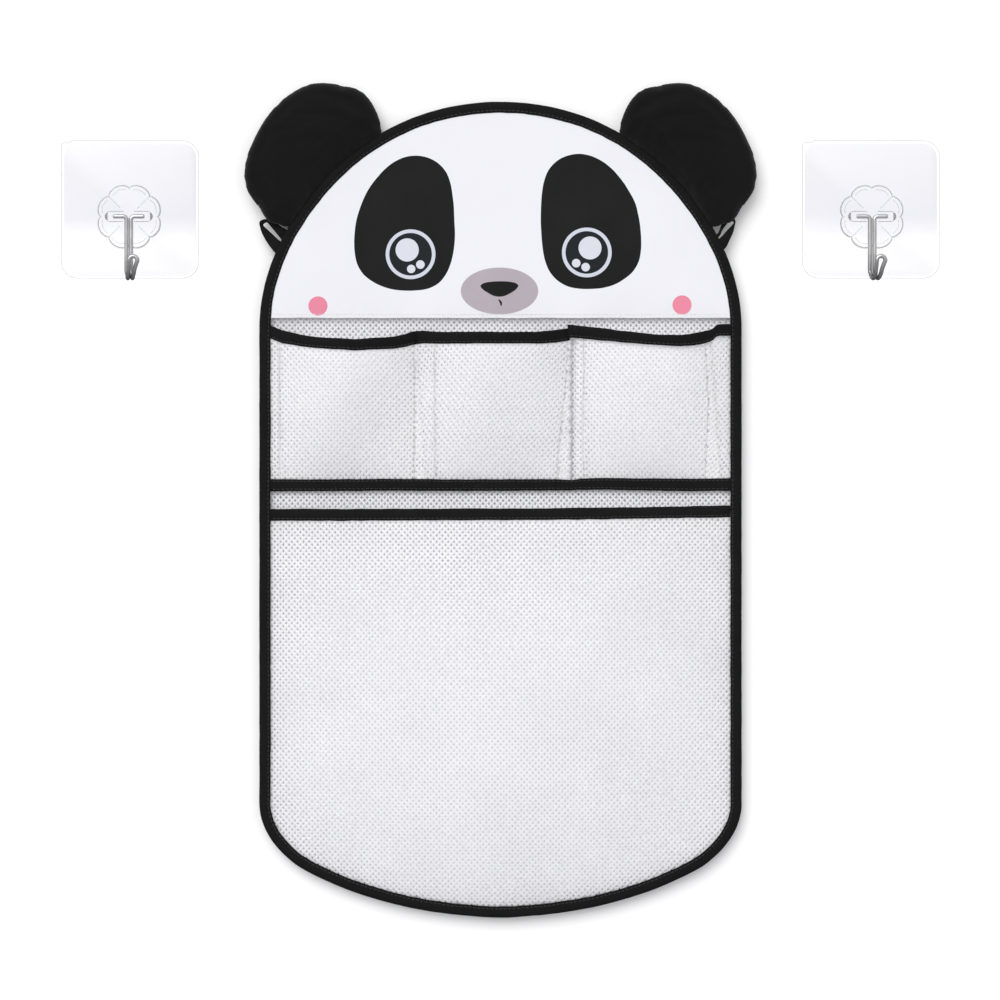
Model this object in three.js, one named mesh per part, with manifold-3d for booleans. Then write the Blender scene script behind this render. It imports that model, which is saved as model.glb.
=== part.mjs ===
// Hanging bath toy organizer with a panda head: a mesh back panel with a bound rim, a printed head,
// stuffed ears, three small mesh pockets over one large mesh pocket, two hanging loops, and the pair of
// stick-on wall hooks that it hangs from.
// Millimetres, +Z up. The wall is the plane y = 0 and the front faces -Y. The origin is on the wall,
// midway between the two hanging loops.

import * as THREE from 'three';
import { mergeVertices } from 'three/addons/utils/BufferGeometryUtils.js';
import Module from 'manifold-3d';

const wasm = await Module();
wasm.setup();

// ---------------------------------------------------------------- driving dimensions

// Panel outline: a head a little leaner than a half ellipse, over straight sides closed by a flat round bottom.
const PANEL_HALF_W = 175;
const HEAD_Z = -74.7;
const HEAD_RISE = 164.3;
const HEAD_LEAN = 0.0143;
const BOTTOM_CURVE = [ // half width, height
  [175, -413], [174.9, -422.7], [173.3, -431.4], [169.7, -440.1], [164.2, -448.8], [156.2, -457.5],
  [145, -466.2], [128, -474.9], [106.9, -483.6], [78.3, -492.3], [49.3, -498.1], [22.5, -501.2], [0, -502.4],
];

// Binding tape folded round the panel's edge.
const BIND_W = 8.2;
const BIND_T = 6.4;
const BIND_WALL = 3;
const BIND_LIP = 0.7;

// Layers held in the fold, back to front.
const BACK_Y = [-1, -2];
const STIFFENER_Y = [-2.4, -4.2];
const FACE_Y = [-4.6, -5.4];
const LAYER_INSET = 3.4;
const STIFFENER_INSET = 5;
const FACE_BOTTOM_Z = -67.4;

// Pocket meshes: where they are sewn down, how thick they are, and their edge tapes.
const SEAM_Y = -4.1;
const NET_T = 1.2;
const TAPE_H = 8;
const TAPE_T = 3.4;
const TAPE_WALL = 0.8;
const SEAM_GAP = 0.5;
const POCKET_SEAM_X = [-166.8, -60.5, 51.9, 166.8];
const POCKET_FLOOR_Z = -184.2;
const POCKET_DEPTH = [25, 22, 25];
const POCKET_MOUTH_Z = [-75.4, -77.6, -73.6];
const POCKET_SAG = [6.6, 0.6, 6.4];
const FLOOR_TAPE_Z = [-184.2, -192.9];
const LARGE_DEPTH = 26;
const LARGE_MOUTH_Z = -204.6;

// Ears: left one, seen from the front, from the top of the root round to its bottom.
const EAR_EDGE = [
  [-87.6, 72.5], [-90.3, 84.8], [-96.1, 92.1], [-104, 98.2], [-121.4, 102.4], [-128.7, 103], [-143.9, 99.6],
  [-158.4, 89.9], [-171.5, 76.1], [-180.2, 58.7], [-185, 38.4], [-184.3, 32.6], [-180.7, 22.5], [-174.6, 13.1],
  [-167.6, 5.6],
];
const EAR_ROOT_DEG = [150.5, 119.8];
const EAR_GAP = 1.2;
const EAR_CENTRE = [-138, 55];
const EAR_MID_Y = -7.5;
const EAR_ROOT_Y = -3.5;
const EAR_RINGS = [1, 0.88, 0.66, 0.35];
const EAR_FRONT = [0.9, 4.2, 6, 6.9, 7.1];
const EAR_BACK = [0.9, 3, 4.2, 4.7, 4.8];
const EAR_CLOTH = 0.9;

// Hanging loops of narrow tape, standing out from the rim under the ears.
const LOOP_ROOT = [-159.9, -13.1];
const LOOP_DIR = [-0.63, 0.776];
const LOOP_LENGTH = 20.6;
const LOOP_GAP = 6.4;
const LOOP_TAPE = 4.2;
const LOOP_Y = [-0.4, -2.2];
const LOOP_CLEAR = 0.5;

// Stick-on hooks, one each side.
const HOOK_X = 269;
const HOOK_Z = 11.6;
const HOOK_SIZE = 100.4;
const HOOK_CORNER = 12.3;
const PAD_SIZE = 96;
const PAD_Y = [0, -0.6];
const PLATE_Y = [-0.9, -2.1];
const BOSS_Z = 5.8;
const BOSS_R = 21.1;
const BOSS_LOBE = 2.9;
const BOSS_Y = [-2.4, -7.4];
const SOCKET_Y = -12;
const SOCKET_X = [3.8, 17.4];
const SOCKET_H = 7.2;
const SOCKET_BORE_R = 1.95;
const WIRE_R = 1.55;
const WIRE_AXIS_Y = -9.5;
const WIRE_ARM = 10.8;
const WIRE_LEG_X = 1.68;
const WIRE_DROP = 38.6;
const WIRE_J_R = 6.6;
const WIRE_TIP = 8.9;
const WIRE_TIP_R = 3;
const WIRE_LEAN = 4.8;

// ---------------------------------------------------------------- shapes

const group = new THREE.Group();

function weld(geometry) {
  const g = geometry.index ? geometry.clone() : geometry;
  for (const name of Object.keys(g.attributes)) if (name !== 'position') g.deleteAttribute(name);
  return mergeVertices(g, 1e-4);
}

function toManifold(geometry) {
  const g = weld(geometry);
  return new wasm.Manifold(new wasm.Mesh({
    numProp: 3,
    vertProperties: new Float32Array(g.attributes.position.array),
    triVerts: new Uint32Array(g.index.array),
  }));
}

function fromManifold(m) {
  const { vertProperties, triVerts, numProp } = m.getMesh();
  const points = [];
  for (let i = 0; i < vertProperties.length; i += numProp) points.push(vertProperties[i], vertProperties[i + 1], vertProperties[i + 2]);
  const g = new THREE.BufferGeometry();
  g.setAttribute('position', new THREE.Float32BufferAttribute(points, 3));
  g.setIndex(Array.from(triVerts));
  g.computeVertexNormals();
  return g;
}

// A closed solid from points and triangles, with its faces turned outward.
function solid(points, faces) {
  let volume = 0;
  for (const [a, b, c] of faces) {
    const [ax, ay, az] = points[a], [bx, by, bz] = points[b], [cx, cy, cz] = points[c];
    volume += ax * (by * cz - bz * cy) + ay * (bz * cx - bx * cz) + az * (bx * cy - by * cx);
  }
  const turned = volume < 0 ? faces.map(([a, b, c]) => [a, c, b]) : faces;
  const g = new THREE.BufferGeometry();
  g.setAttribute('position', new THREE.Float32BufferAttribute(points.flat(), 3));
  g.setIndex(turned.flat());
  g.computeVertexNormals();
  return g;
}

// A flat plate with an outline of [x, z] points, between two depths.
function plate(outline, [y0, y1], hole) {
  const shape = new THREE.Shape(outline.map(([x, z]) => new THREE.Vector2(x, z)));
  if (hole) shape.holes.push(new THREE.Path(hole.map(([x, z]) => new THREE.Vector2(x, z))));
  const g = new THREE.ExtrudeGeometry(shape, { depth: Math.abs(y1 - y0), bevelEnabled: false, steps: 1 });
  g.rotateX(Math.PI / 2);
  g.translate(0, Math.max(y0, y1), 0);
  return weld(g);
}

// A wall between a back and a front surface, each given on the same grid.
function wall(nu, nv, back, front) {
  const points = [], faces = [];
  const at = (side, i, j) => side * (nu + 1) * (nv + 1) + j * (nu + 1) + i;
  for (const surface of [back, front]) {
    for (let j = 0; j <= nv; j++) for (let i = 0; i <= nu; i++) points.push(surface(i / nu, j / nv));
  }
  const quad = (a, b, c, d) => faces.push([a, b, c], [a, c, d]);
  for (let j = 0; j < nv; j++) {
    for (let i = 0; i < nu; i++) {
      quad(at(0, i, j), at(0, i, j + 1), at(0, i + 1, j + 1), at(0, i + 1, j));
      quad(at(1, i, j), at(1, i + 1, j), at(1, i + 1, j + 1), at(1, i, j + 1));
    }
  }
  for (let i = 0; i < nu; i++) {
    quad(at(0, i, 0), at(0, i + 1, 0), at(1, i + 1, 0), at(1, i, 0));
    quad(at(0, i + 1, nv), at(0, i, nv), at(1, i, nv), at(1, i + 1, nv));
  }
  for (let j = 0; j < nv; j++) {
    quad(at(0, 0, j + 1), at(0, 0, j), at(1, 0, j), at(1, 0, j + 1));
    quad(at(0, nu, j), at(0, nu, j + 1), at(1, nu, j + 1), at(1, nu, j));
  }
  return solid(points, faces);
}

// A section carried through a row of places, with both ends closed.
function loft(section, places) {
  const n = section.length, points = [], faces = [];
  for (const place of places) for (const p of section) points.push(place(p));
  for (let k = 0; k + 1 < places.length; k++) {
    for (let i = 0; i < n; i++) {
      const a = k * n + i, b = k * n + (i + 1) % n;
      faces.push([a, b, b + n], [a, b + n, a + n]);
    }
  }
  const caps = THREE.ShapeUtils.triangulateShape(section.map(([x, y]) => new THREE.Vector2(x, y)), []);
  const turned = THREE.ShapeUtils.area(section.map(([x, y]) => new THREE.Vector2(x, y))) < 0;
  const last = (places.length - 1) * n;
  for (const [a, b, c] of caps) {
    faces.push(turned ? [a, b, c] : [a, c, b]);
    faces.push(turned ? [last + a, last + c, last + b] : [last + a, last + b, last + c]);
  }
  return solid(points, faces);
}

function add(name, geometry, color, roughness, metalness = 0, opacity = 1) {
  const material = new THREE.MeshStandardMaterial({ color, roughness, metalness });
  if (opacity < 1) {
    material.transparent = true;
    material.opacity = opacity;
  }
  const mesh = new THREE.Mesh(geometry, material);
  mesh.name = name;
  group.add(mesh);
  return mesh;
}

function mirrored(geometry) {
  const g = weld(geometry);
  const p = g.attributes.position;
  for (let i = 0; i < p.count; i++) p.setX(i, -p.getX(i));
  const index = Array.from(g.index.array);
  for (let i = 0; i < index.length; i += 3) [index[i + 1], index[i + 2]] = [index[i + 2], index[i + 1]];
  g.setIndex(index);
  g.computeVertexNormals();
  return g;
}

// ---------------------------------------------------------------- outline of the panel

// How far the head reaches along an angle, as a share of its ellipse: it is drawn in at the shoulders.
const headReach = (a) => 1 - HEAD_LEAN * Math.sin(2 * a) ** 2 * (1 + 0.8 * Math.cos(2 * a));

// A point of the head's outline, moved outward by d.
function headPoint(a, d = 0) {
  const q = headReach(a);
  return [(PANEL_HALF_W + d) * Math.cos(a) * q, HEAD_Z + (HEAD_RISE + d) * Math.sin(a) * q];
}

function panelOutline() {
  const points = [];
  const head = 34;
  for (let i = 0; i <= head; i++) points.push(headPoint((Math.PI * i) / head));
  for (const z of [-190, -300]) points.push([-PANEL_HALF_W, z]);
  for (const [w, z] of BOTTOM_CURVE) points.push([-w, z]);
  for (const [w, z] of BOTTOM_CURVE.slice(0, -1).reverse()) points.push([w, z]);
  for (const z of [-300, -190]) points.push([PANEL_HALF_W, z]);
  return points;
}

// The outline moved inward by d.
function inset(outline, d) {
  const n = outline.length;
  return outline.map((p, i) => {
    const a = outline[(i + n - 1) % n], b = outline[(i + 1) % n];
    const u = new THREE.Vector2(p[0] - a[0], p[1] - a[1]).normalize();
    const v = new THREE.Vector2(b[0] - p[0], b[1] - p[1]).normalize();
    const m = new THREE.Vector2(-u.y - v.y, u.x + v.x).normalize();
    const k = d / Math.max(0.5, m.x * -u.y + m.y * u.x);
    return [p[0] + m.x * k, p[1] + m.y * k];
  });
}

// The part of an outline above a height, cut straight across.
function above(outline, z) {
  const out = [];
  outline.forEach((p, i) => {
    const q = outline[(i + 1) % outline.length];
    if (p[1] >= z) out.push(p);
    if ((p[1] >= z) !== (q[1] >= z)) {
      const t = (z - p[1]) / (q[1] - p[1]);
      out.push([p[0] + t * (q[0] - p[0]), z]);
    }
  });
  return out;
}

const outer = panelOutline();
const black = 0x1d1d1f, white = 0xf1f1f6, meshWhite = 0xe9e9ef;

// ---------------------------------------------------------------- panel, head and rim

add('back_mesh_panel', plate(inset(outer, LAYER_INSET), BACK_Y), meshWhite, 0.9);
add('head_stiffener', plate(above(inset(outer, STIFFENER_INSET), FACE_BOTTOM_Z + 1.5), STIFFENER_Y), 0xf6f6f2, 0.95);
add('face_panel', plate(above(inset(outer, LAYER_INSET), FACE_BOTTOM_Z), FACE_Y), white, 0.85);

const rim = toManifold(plate(outer, [0, -BIND_T], inset(outer, BIND_W)))
  .subtract(toManifold(plate(inset(outer, BIND_WALL), [-BIND_LIP, BIND_LIP - BIND_T])));
add('rim_binding', fromManifold(rim), black, 0.85);

// ---------------------------------------------------------------- small pockets

const arch = (u) => 1 - (2 * u - 1) ** 4;
const rise = (t) => Math.sin((Math.PI / 2) * t) ** 0.9;

// The fold of tape over a mesh edge, in depth and height from the middle of its top.
const tapeSection = [
  [-TAPE_T / 2, -TAPE_H], [-TAPE_T / 2, 0], [TAPE_T / 2, 0], [TAPE_T / 2, -TAPE_H],
  [TAPE_T / 2 - TAPE_WALL, -TAPE_H], [TAPE_T / 2 - TAPE_WALL, -TAPE_WALL],
  [-TAPE_T / 2 + TAPE_WALL, -TAPE_WALL], [-TAPE_T / 2 + TAPE_WALL, -TAPE_H],
];

['left', 'middle', 'right'].forEach((side, k) => {
  const x0 = POCKET_SEAM_X[k] + SEAM_GAP, x1 = POCKET_SEAM_X[k + 1] - SEAM_GAP;
  const floor = POCKET_FLOOR_Z + SEAM_GAP;
  const mouth = (u) => POCKET_MOUTH_Z[k] - POCKET_SAG[k] * (1 - (2 * u - 1) ** 2);
  const netTop = (u) => mouth(u) - TAPE_WALL - 0.5;
  const place = (u, t, dy) => [
    x0 + u * (x1 - x0), SEAM_Y - POCKET_DEPTH[k] * arch(u) * rise(t) + dy, floor + t * (netTop(u) - floor),
  ];
  add(`${side}_pocket_mesh`, wall(12, 5, (u, t) => place(u, t, NET_T / 2), (u, t) => place(u, t, -NET_T / 2)), meshWhite, 0.9);
  // The tape follows the mesh's own lean inside its fold, so the two never meet.
  const steps = 12;
  const places = [];
  for (let i = 0; i <= steps; i++) {
    const u = i / steps;
    places.push(([dy, dz]) => {
      const z = mouth(u) + dz;
      const t = Math.min(1, Math.max(0, (z - floor) / (netTop(u) - floor)));
      return [x0 + u * (x1 - x0), SEAM_Y - POCKET_DEPTH[k] * arch(u) * rise(t) + dy, z];
    });
  }
  add(`${side}_pocket_tape`, loft(tapeSection, places), black, 0.85);
});

const inner = inset(outer, BIND_W);
add('pocket_floor_tape', plate([
  [-PANEL_HALF_W + BIND_W + SEAM_GAP, FLOOR_TAPE_Z[0]], [PANEL_HALF_W - BIND_W - SEAM_GAP, FLOOR_TAPE_Z[0]],
  [PANEL_HALF_W - BIND_W - SEAM_GAP, FLOOR_TAPE_Z[1]], [-PANEL_HALF_W + BIND_W + SEAM_GAP, FLOOR_TAPE_Z[1]],
], [SEAM_Y + TAPE_T / 2, SEAM_Y - TAPE_T / 2]), black, 0.85);

// ---------------------------------------------------------------- large pocket

const largeEdge = inset(outer, BIND_W + SEAM_GAP);
const largeHalfW = PANEL_HALF_W - BIND_W - SEAM_GAP;

// The height of the bound edge under a point of the large pocket.
function floorAt(x) {
  const low = largeEdge.filter(([, z]) => z < -250).map(([px, z]) => [px, z]).sort((a, b) => a[0] - b[0]);
  if (Math.abs(x) >= largeHalfW - 1e-6) return BOTTOM_CURVE[0][1] + 2;
  for (let i = 0; i + 1 < low.length; i++) {
    if (x >= low[i][0] && x <= low[i + 1][0] && low[i + 1][0] - low[i][0] > 1e-6) {
      const t = (x - low[i][0]) / (low[i + 1][0] - low[i][0]);
      return low[i][1] + t * (low[i + 1][1] - low[i][1]);
    }
  }
  return BOTTOM_CURVE[0][1] + 2;
}

const belly = (t) => Math.sin(Math.PI * 0.8 * t ** 0.7);
const largeTop = LARGE_MOUTH_Z - TAPE_WALL - 0.5;
// Columns crowd towards the sides, where the round bottom turns up.
const column = (u) => largeHalfW * Math.sin((Math.PI / 2) * (2 * u - 1));
const largePlace = (u, t, dy) => {
  const x = column(u), floor = floorAt(x);
  return [x, SEAM_Y - LARGE_DEPTH * arch((x / largeHalfW + 1) / 2) * belly(t) + dy, floor + t * (largeTop - floor)];
};
add('large_pocket_mesh', wall(22, 8, (u, t) => largePlace(u, t, NET_T / 2), (u, t) => largePlace(u, t, -NET_T / 2)), meshWhite, 0.9);
{
  const places = [];
  for (let i = 0; i <= 22; i++) {
    const u = i / 22, x = column(u), floor = floorAt(x);
    places.push(([dy, dz]) => {
      const z = LARGE_MOUTH_Z + dz;
      const t = Math.min(1, (z - floor) / (largeTop - floor));
      return [x, SEAM_Y - LARGE_DEPTH * arch((x / largeHalfW + 1) / 2) * belly(t) + dy, z];
    });
  }
  add('large_pocket_tape', loft(tapeSection, places), black, 0.85);
}

// ---------------------------------------------------------------- ears

// Points round the ear and how far each is part of the root, from 0 to 1.
function earOutline() {
  const curve = new THREE.CatmullRomCurve3(EAR_EDGE.map(([x, z]) => new THREE.Vector3(x, 0, z)), false, 'centripetal');
  const points = curve.getSpacedPoints(17).map((p) => [p.x, p.z, 0]);
  const steps = 6;
  for (let i = 0; i <= steps; i++) {
    const a = THREE.MathUtils.degToRad(EAR_ROOT_DEG[0] + ((EAR_ROOT_DEG[1] - EAR_ROOT_DEG[0]) * i) / steps);
    points.push([...headPoint(a, EAR_GAP), 1]);
  }
  return points;
}

// One dome of an ear: rings that shrink to the centre, at a height off the ear's middle sheet.
function earRings(edge, sign, heights, shrink, lower) {
  const points = [];
  const rings = EAR_RINGS.length;
  for (let k = 0; k < rings; k++) {
    const s = EAR_RINGS[k];
    for (const [x, z, root] of edge) {
      const dx = x - EAR_CENTRE[0], dz = z - EAR_CENTRE[1];
      const r = Math.hypot(dx, dz), q = Math.max(0.02, (s * r - shrink * s) / r);
      const mid = EAR_MID_Y + (EAR_ROOT_Y - EAR_MID_Y) * root * s ** 3;
      points.push([EAR_CENTRE[0] + q * dx, mid + sign * Math.max(0.15, heights[k] - lower), EAR_CENTRE[1] + q * dz]);
    }
  }
  points.push([EAR_CENTRE[0], EAR_MID_Y + sign * (heights[rings] - lower), EAR_CENTRE[1]]);
  return points;
}

function domeFaces(n, base) {
  const faces = [], rings = EAR_RINGS.length;
  for (let k = 0; k + 1 < rings; k++) {
    for (let i = 0; i < n; i++) {
      const a = base + k * n + i, b = base + k * n + (i + 1) % n;
      faces.push([a, b, b + n], [a, b + n, a + n]);
    }
  }
  const c = base + rings * n, last = base + (rings - 1) * n;
  for (let i = 0; i < n; i++) faces.push([last + i, last + (i + 1) % n, c]);
  return faces;
}

// The cloth of one side: an outer and an inner dome joined round the seam.
function earCloth(edge, sign, heights) {
  const n = edge.length;
  const a = earRings(edge, sign, heights, 0, 0);
  const b = earRings(edge, sign, heights, EAR_CLOTH, EAR_CLOTH);
  const seam = edge.map(([x, z, root]) => [x, EAR_MID_Y + (EAR_ROOT_Y - EAR_MID_Y) * root + sign * 0.15, z]);
  const points = [...a, ...b, ...seam];
  const faces = domeFaces(n, 0);
  for (const [p, q, r] of domeFaces(n, a.length)) faces.push([p, r, q]);
  const s0 = a.length + b.length;
  for (let i = 0; i < n; i++) {
    const j = (i + 1) % n;
    faces.push([i, s0 + i, s0 + j], [i, s0 + j, j]);
    faces.push([s0 + i, a.length + i, a.length + j], [s0 + i, a.length + j, s0 + j]);
  }
  return solid(points, faces);
}

// The wadding: both domes, drawn in from the cloth.
function earWadding(edge) {
  const n = edge.length, shrink = EAR_CLOTH + 0.9, lower = EAR_CLOTH + 0.35;
  const a = earRings(edge, -1, EAR_FRONT.map((h, k) => (k ? h : lower + 0.15)), shrink, lower);
  const b = earRings(edge, 1, EAR_BACK.map((h, k) => (k ? h : lower + 0.15)), shrink, lower);
  const faces = domeFaces(n, 0);
  for (const [p, q, r] of domeFaces(n, a.length)) faces.push([p, r, q]);
  for (let i = 0; i < n; i++) {
    const j = (i + 1) % n;
    faces.push([i, a.length + i, a.length + j], [i, a.length + j, j]);
  }
  return solid([...a, ...b], faces);
}

const edge = earOutline();
const earFront = earCloth(edge, -1, EAR_FRONT), earBack = earCloth(edge, 1, EAR_BACK), wadding = earWadding(edge);
add('left_ear_front', earFront, black, 0.9);
add('left_ear_back', earBack, black, 0.9);
add('left_ear_wadding', wadding, 0xf4f4f0, 1);
add('right_ear_front', mirrored(earFront), black, 0.9);
add('right_ear_back', mirrored(earBack), black, 0.9);
add('right_ear_wadding', mirrored(wadding), 0xf4f4f0, 1);

// ---------------------------------------------------------------- hanging loops

function hangingLoop() {
  const [dx, dz] = LOOP_DIR, across = [-dz, dx]; // towards the lower leg
  const r = (LOOP_GAP + LOOP_TAPE) / 2;
  const straight = LOOP_LENGTH - LOOP_TAPE / 2 - r;
  const at = (along, side) => [LOOP_ROOT[0] + dx * along + across[0] * side, LOOP_ROOT[1] + dz * along + across[1] * side];
  // Where a line along the loop leaves the rim, so that each leg ends on the rim's slant.
  const start = (side) => {
    let s = -4;
    const outside = ([x, z]) => {
      const u = x / (PANEL_HALF_W + LOOP_CLEAR), v = (z - HEAD_Z) / (HEAD_RISE + LOOP_CLEAR);
      return Math.hypot(u, v) > headReach(Math.atan2(v, u));
    };
    while (!outside(at(s, side))) s += 0.05;
    return s;
  };
  const places = [];
  const legEnd = (sign) => places.push(([w, y]) => {
    const side = sign * (r + w), p = at(start(side), side);
    return [p[0], y, p[1]];
  });
  legEnd(1);
  for (let i = 0; i <= 8; i++) {
    const a = (Math.PI * i) / 8;
    places.push(([w, y]) => {
      const p = at(straight + (r + w) * Math.sin(a), (r + w) * Math.cos(a));
      return [p[0], y, p[1]];
    });
  }
  legEnd(-1);
  const section = [
    [-LOOP_TAPE / 2, LOOP_Y[0]], [LOOP_TAPE / 2, LOOP_Y[0]], [LOOP_TAPE / 2, LOOP_Y[1]], [-LOOP_TAPE / 2, LOOP_Y[1]],
  ];
  return loft(section, places);
}
add('left_hanging_loop', hangingLoop(), black, 0.85);
add('right_hanging_loop', mirrored(hangingLoop()), black, 0.85);

// ---------------------------------------------------------------- stick-on hooks

// A square with round corners; the upper left one is square, with the tab that starts the peel.
function hookOutline(cx, size, corner, tab) {
  const h = size / 2, points = [];
  const round = (sx, sz, from) => {
    for (let i = 0; i <= 5; i++) {
      const a = from + ((Math.PI / 2) * i) / 5;
      points.push([cx + sx * (h - corner) + corner * Math.cos(a), HOOK_Z + sz * (h - corner) + corner * Math.sin(a)]);
    }
  };
  round(1, 1, 0);
  if (tab) {
    points.push([cx - h + 7, HOOK_Z + h], [cx - h + 7, HOOK_Z + h - 1.6], [cx - h, HOOK_Z + h - 1.6]);
  } else round(-1, 1, Math.PI / 2);
  round(-1, -1, Math.PI);
  round(1, -1, -Math.PI / 2);
  return points;
}

function flower(cx) {
  const points = [];
  for (let i = 0; i < 48; i++) {
    const a = (2 * Math.PI * i) / 48;
    const r = BOSS_R + BOSS_LOBE * Math.abs(Math.sin(4 * a)) ** 0.6;
    points.push([cx + r * Math.cos(a), BOSS_Z + r * Math.sin(a)]);
  }
  return points;
}

// A socket that holds one arm of the wire: a round-ended block with a bore along X.
function socket(cx, sign) {
  const points = [], r = SOCKET_H / 2;
  const a = SOCKET_X[0], b = SOCKET_X[1];
  for (let i = 0; i <= 8; i++) {
    const t = -Math.PI / 2 + (Math.PI * i) / 8;
    points.push([cx + sign * (b - r + r * Math.cos(t)), BOSS_Z + r * Math.sin(t)]);
  }
  points.push([cx + sign * a, BOSS_Z + r], [cx + sign * a, BOSS_Z - r]);
  return plate(points, [BOSS_Y[1] + 1, SOCKET_Y]);
}

function boss(cx) {
  let m = toManifold(plate(flower(cx), BOSS_Y));
  for (const sign of [-1, 1]) m = m.add(toManifold(socket(cx, sign)));
  const bore = new THREE.CylinderGeometry(SOCKET_BORE_R, SOCKET_BORE_R, 2 * (WIRE_ARM + 1.2), 12);
  bore.rotateZ(Math.PI / 2);
  bore.translate(cx, WIRE_AXIS_Y, BOSS_Z);
  return fromManifold(m.subtract(toManifold(bore)));
}

// The wire: one length bent into a hairpin, both arms turned out into the sockets, the end bent up as a J
// that opens into a drop-shaped eye.
function wire(cx) {
  const p = [];
  const corner = 2.4;
  const half = (sign) => {
    const x = cx + sign * WIRE_LEG_X, side = [];
    side.push([cx + sign * WIRE_ARM, WIRE_AXIS_Y, BOSS_Z], [cx + sign * (WIRE_ARM - 4), WIRE_AXIS_Y, BOSS_Z]);
    for (let i = 0; i <= 4; i++) {
      const a = ((Math.PI / 2) * i) / 4;
      side.push([x + sign * corner * (1 - Math.sin(a)), WIRE_AXIS_Y, BOSS_Z - corner * (1 - Math.cos(a))]);
    }
    for (const t of [0.35, 0.7, 1]) side.push([x, WIRE_AXIS_Y, BOSS_Z - corner - (WIRE_DROP - corner) * t]);
    // The J turns forward and up, and leans to the right as it goes.
    const part = sign * (WIRE_TIP_R - WIRE_LEG_X);
    for (let i = 1; i <= 8; i++) {
      const a = (Math.PI * i) / 8, spread = part * 0.15 * Math.max(0, i - 5);
      side.push([x + spread + (WIRE_LEAN * i) / 11, WIRE_AXIS_Y - WIRE_J_R * (1 - Math.cos(a)), BOSS_Z - WIRE_DROP - WIRE_J_R * Math.sin(a)]);
    }
    for (const t of [0.35, 0.7]) {
      const spread = part * (0.45 + 0.7 * t);
      side.push([x + spread + WIRE_LEAN * (8 / 11 + (3 / 11) * t), WIRE_AXIS_Y - 2 * WIRE_J_R - 1.5 * t, BOSS_Z - WIRE_DROP + (WIRE_TIP - WIRE_TIP_R) * t]);
    }
    return side;
  };
  const left = half(-1), right = half(1).reverse();
  p.push(...left);
  for (let i = 0; i <= 4; i++) {
    const a = Math.PI - (Math.PI * i) / 4;
    p.push([cx + WIRE_LEAN + WIRE_TIP_R * Math.cos(a), WIRE_AXIS_Y - 2 * WIRE_J_R - 1.5, BOSS_Z - WIRE_DROP + WIRE_TIP - WIRE_TIP_R * (1 - Math.sin(a))]);
  }
  p.push(...right);
  const curve = new THREE.CatmullRomCurve3(p.map((v) => new THREE.Vector3(...v)), false, 'centripetal');
  curve.arcLengthDivisions = 1200;
  const section = new THREE.Shape();
  for (let i = 0; i < 8; i++) {
    const a = (2 * Math.PI * i) / 8;
    if (i) section.lineTo(WIRE_R * Math.cos(a), WIRE_R * Math.sin(a));
    else section.moveTo(WIRE_R, 0);
  }
  return weld(new THREE.ExtrudeGeometry(section, { steps: 78, extrudePath: curve, bevelEnabled: false }));
}

for (const [side, cx] of [['left', -HOOK_X], ['right', HOOK_X]]) {
  add(`${side}_hook_adhesive`, plate(hookOutline(cx, PAD_SIZE, HOOK_CORNER - 2, false), PAD_Y), 0xf7f7f7, 0.6, 0, 0.6);
  add(`${side}_hook_plate`, plate(hookOutline(cx, HOOK_SIZE, HOOK_CORNER, true), PLATE_Y), 0xf2f2f4, 0.2, 0, 0.35);
  add(`${side}_hook_boss`, boss(cx), 0xf4f4f6, 0.15, 0, 0.35);
  add(`${side}_hook_wire`, wire(cx), 0xa8a9ab, 0.3, 1);
}

export default group;
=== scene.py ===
"""Looks of the hanging bath toy organizer: real net cloth, bound edges with stitching, a printed head,
stuffed ears, and clear stick-on hooks with steel wires. Lengths in the helpers are millimetres; meshes are metres."""

import math

import bmesh
import bpy
import numpy as np
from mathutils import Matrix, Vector, noise
from mathutils.geometry import delaunay_2d_cdt


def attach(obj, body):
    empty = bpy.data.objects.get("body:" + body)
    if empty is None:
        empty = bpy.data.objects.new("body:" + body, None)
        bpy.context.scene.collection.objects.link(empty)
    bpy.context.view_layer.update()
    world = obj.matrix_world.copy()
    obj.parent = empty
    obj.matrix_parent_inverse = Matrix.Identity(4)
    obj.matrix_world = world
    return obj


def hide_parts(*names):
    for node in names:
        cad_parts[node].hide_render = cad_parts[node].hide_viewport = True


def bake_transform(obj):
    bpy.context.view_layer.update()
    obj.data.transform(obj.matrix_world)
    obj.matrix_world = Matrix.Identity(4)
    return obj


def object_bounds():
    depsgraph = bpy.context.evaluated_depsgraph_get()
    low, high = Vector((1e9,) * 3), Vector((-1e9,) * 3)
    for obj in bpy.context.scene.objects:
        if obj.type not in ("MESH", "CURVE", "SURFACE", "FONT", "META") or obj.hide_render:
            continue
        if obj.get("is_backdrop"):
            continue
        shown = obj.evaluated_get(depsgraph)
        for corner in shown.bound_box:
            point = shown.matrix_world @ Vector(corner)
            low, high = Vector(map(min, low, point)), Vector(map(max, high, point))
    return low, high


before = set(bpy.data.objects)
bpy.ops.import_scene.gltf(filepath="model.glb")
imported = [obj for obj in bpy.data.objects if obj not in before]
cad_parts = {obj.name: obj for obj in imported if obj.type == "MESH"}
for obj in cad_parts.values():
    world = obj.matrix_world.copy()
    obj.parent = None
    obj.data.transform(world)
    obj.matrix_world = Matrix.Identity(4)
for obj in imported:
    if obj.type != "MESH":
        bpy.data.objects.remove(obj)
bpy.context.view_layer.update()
scene = bpy.context.scene

# ------------------------------------------------------------------ camera

CAM = (-0.36, -2421.7, -199.4)  # where the camera stands, mm
PX = 0.725  # mm in one picture element at the panel's front

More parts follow.
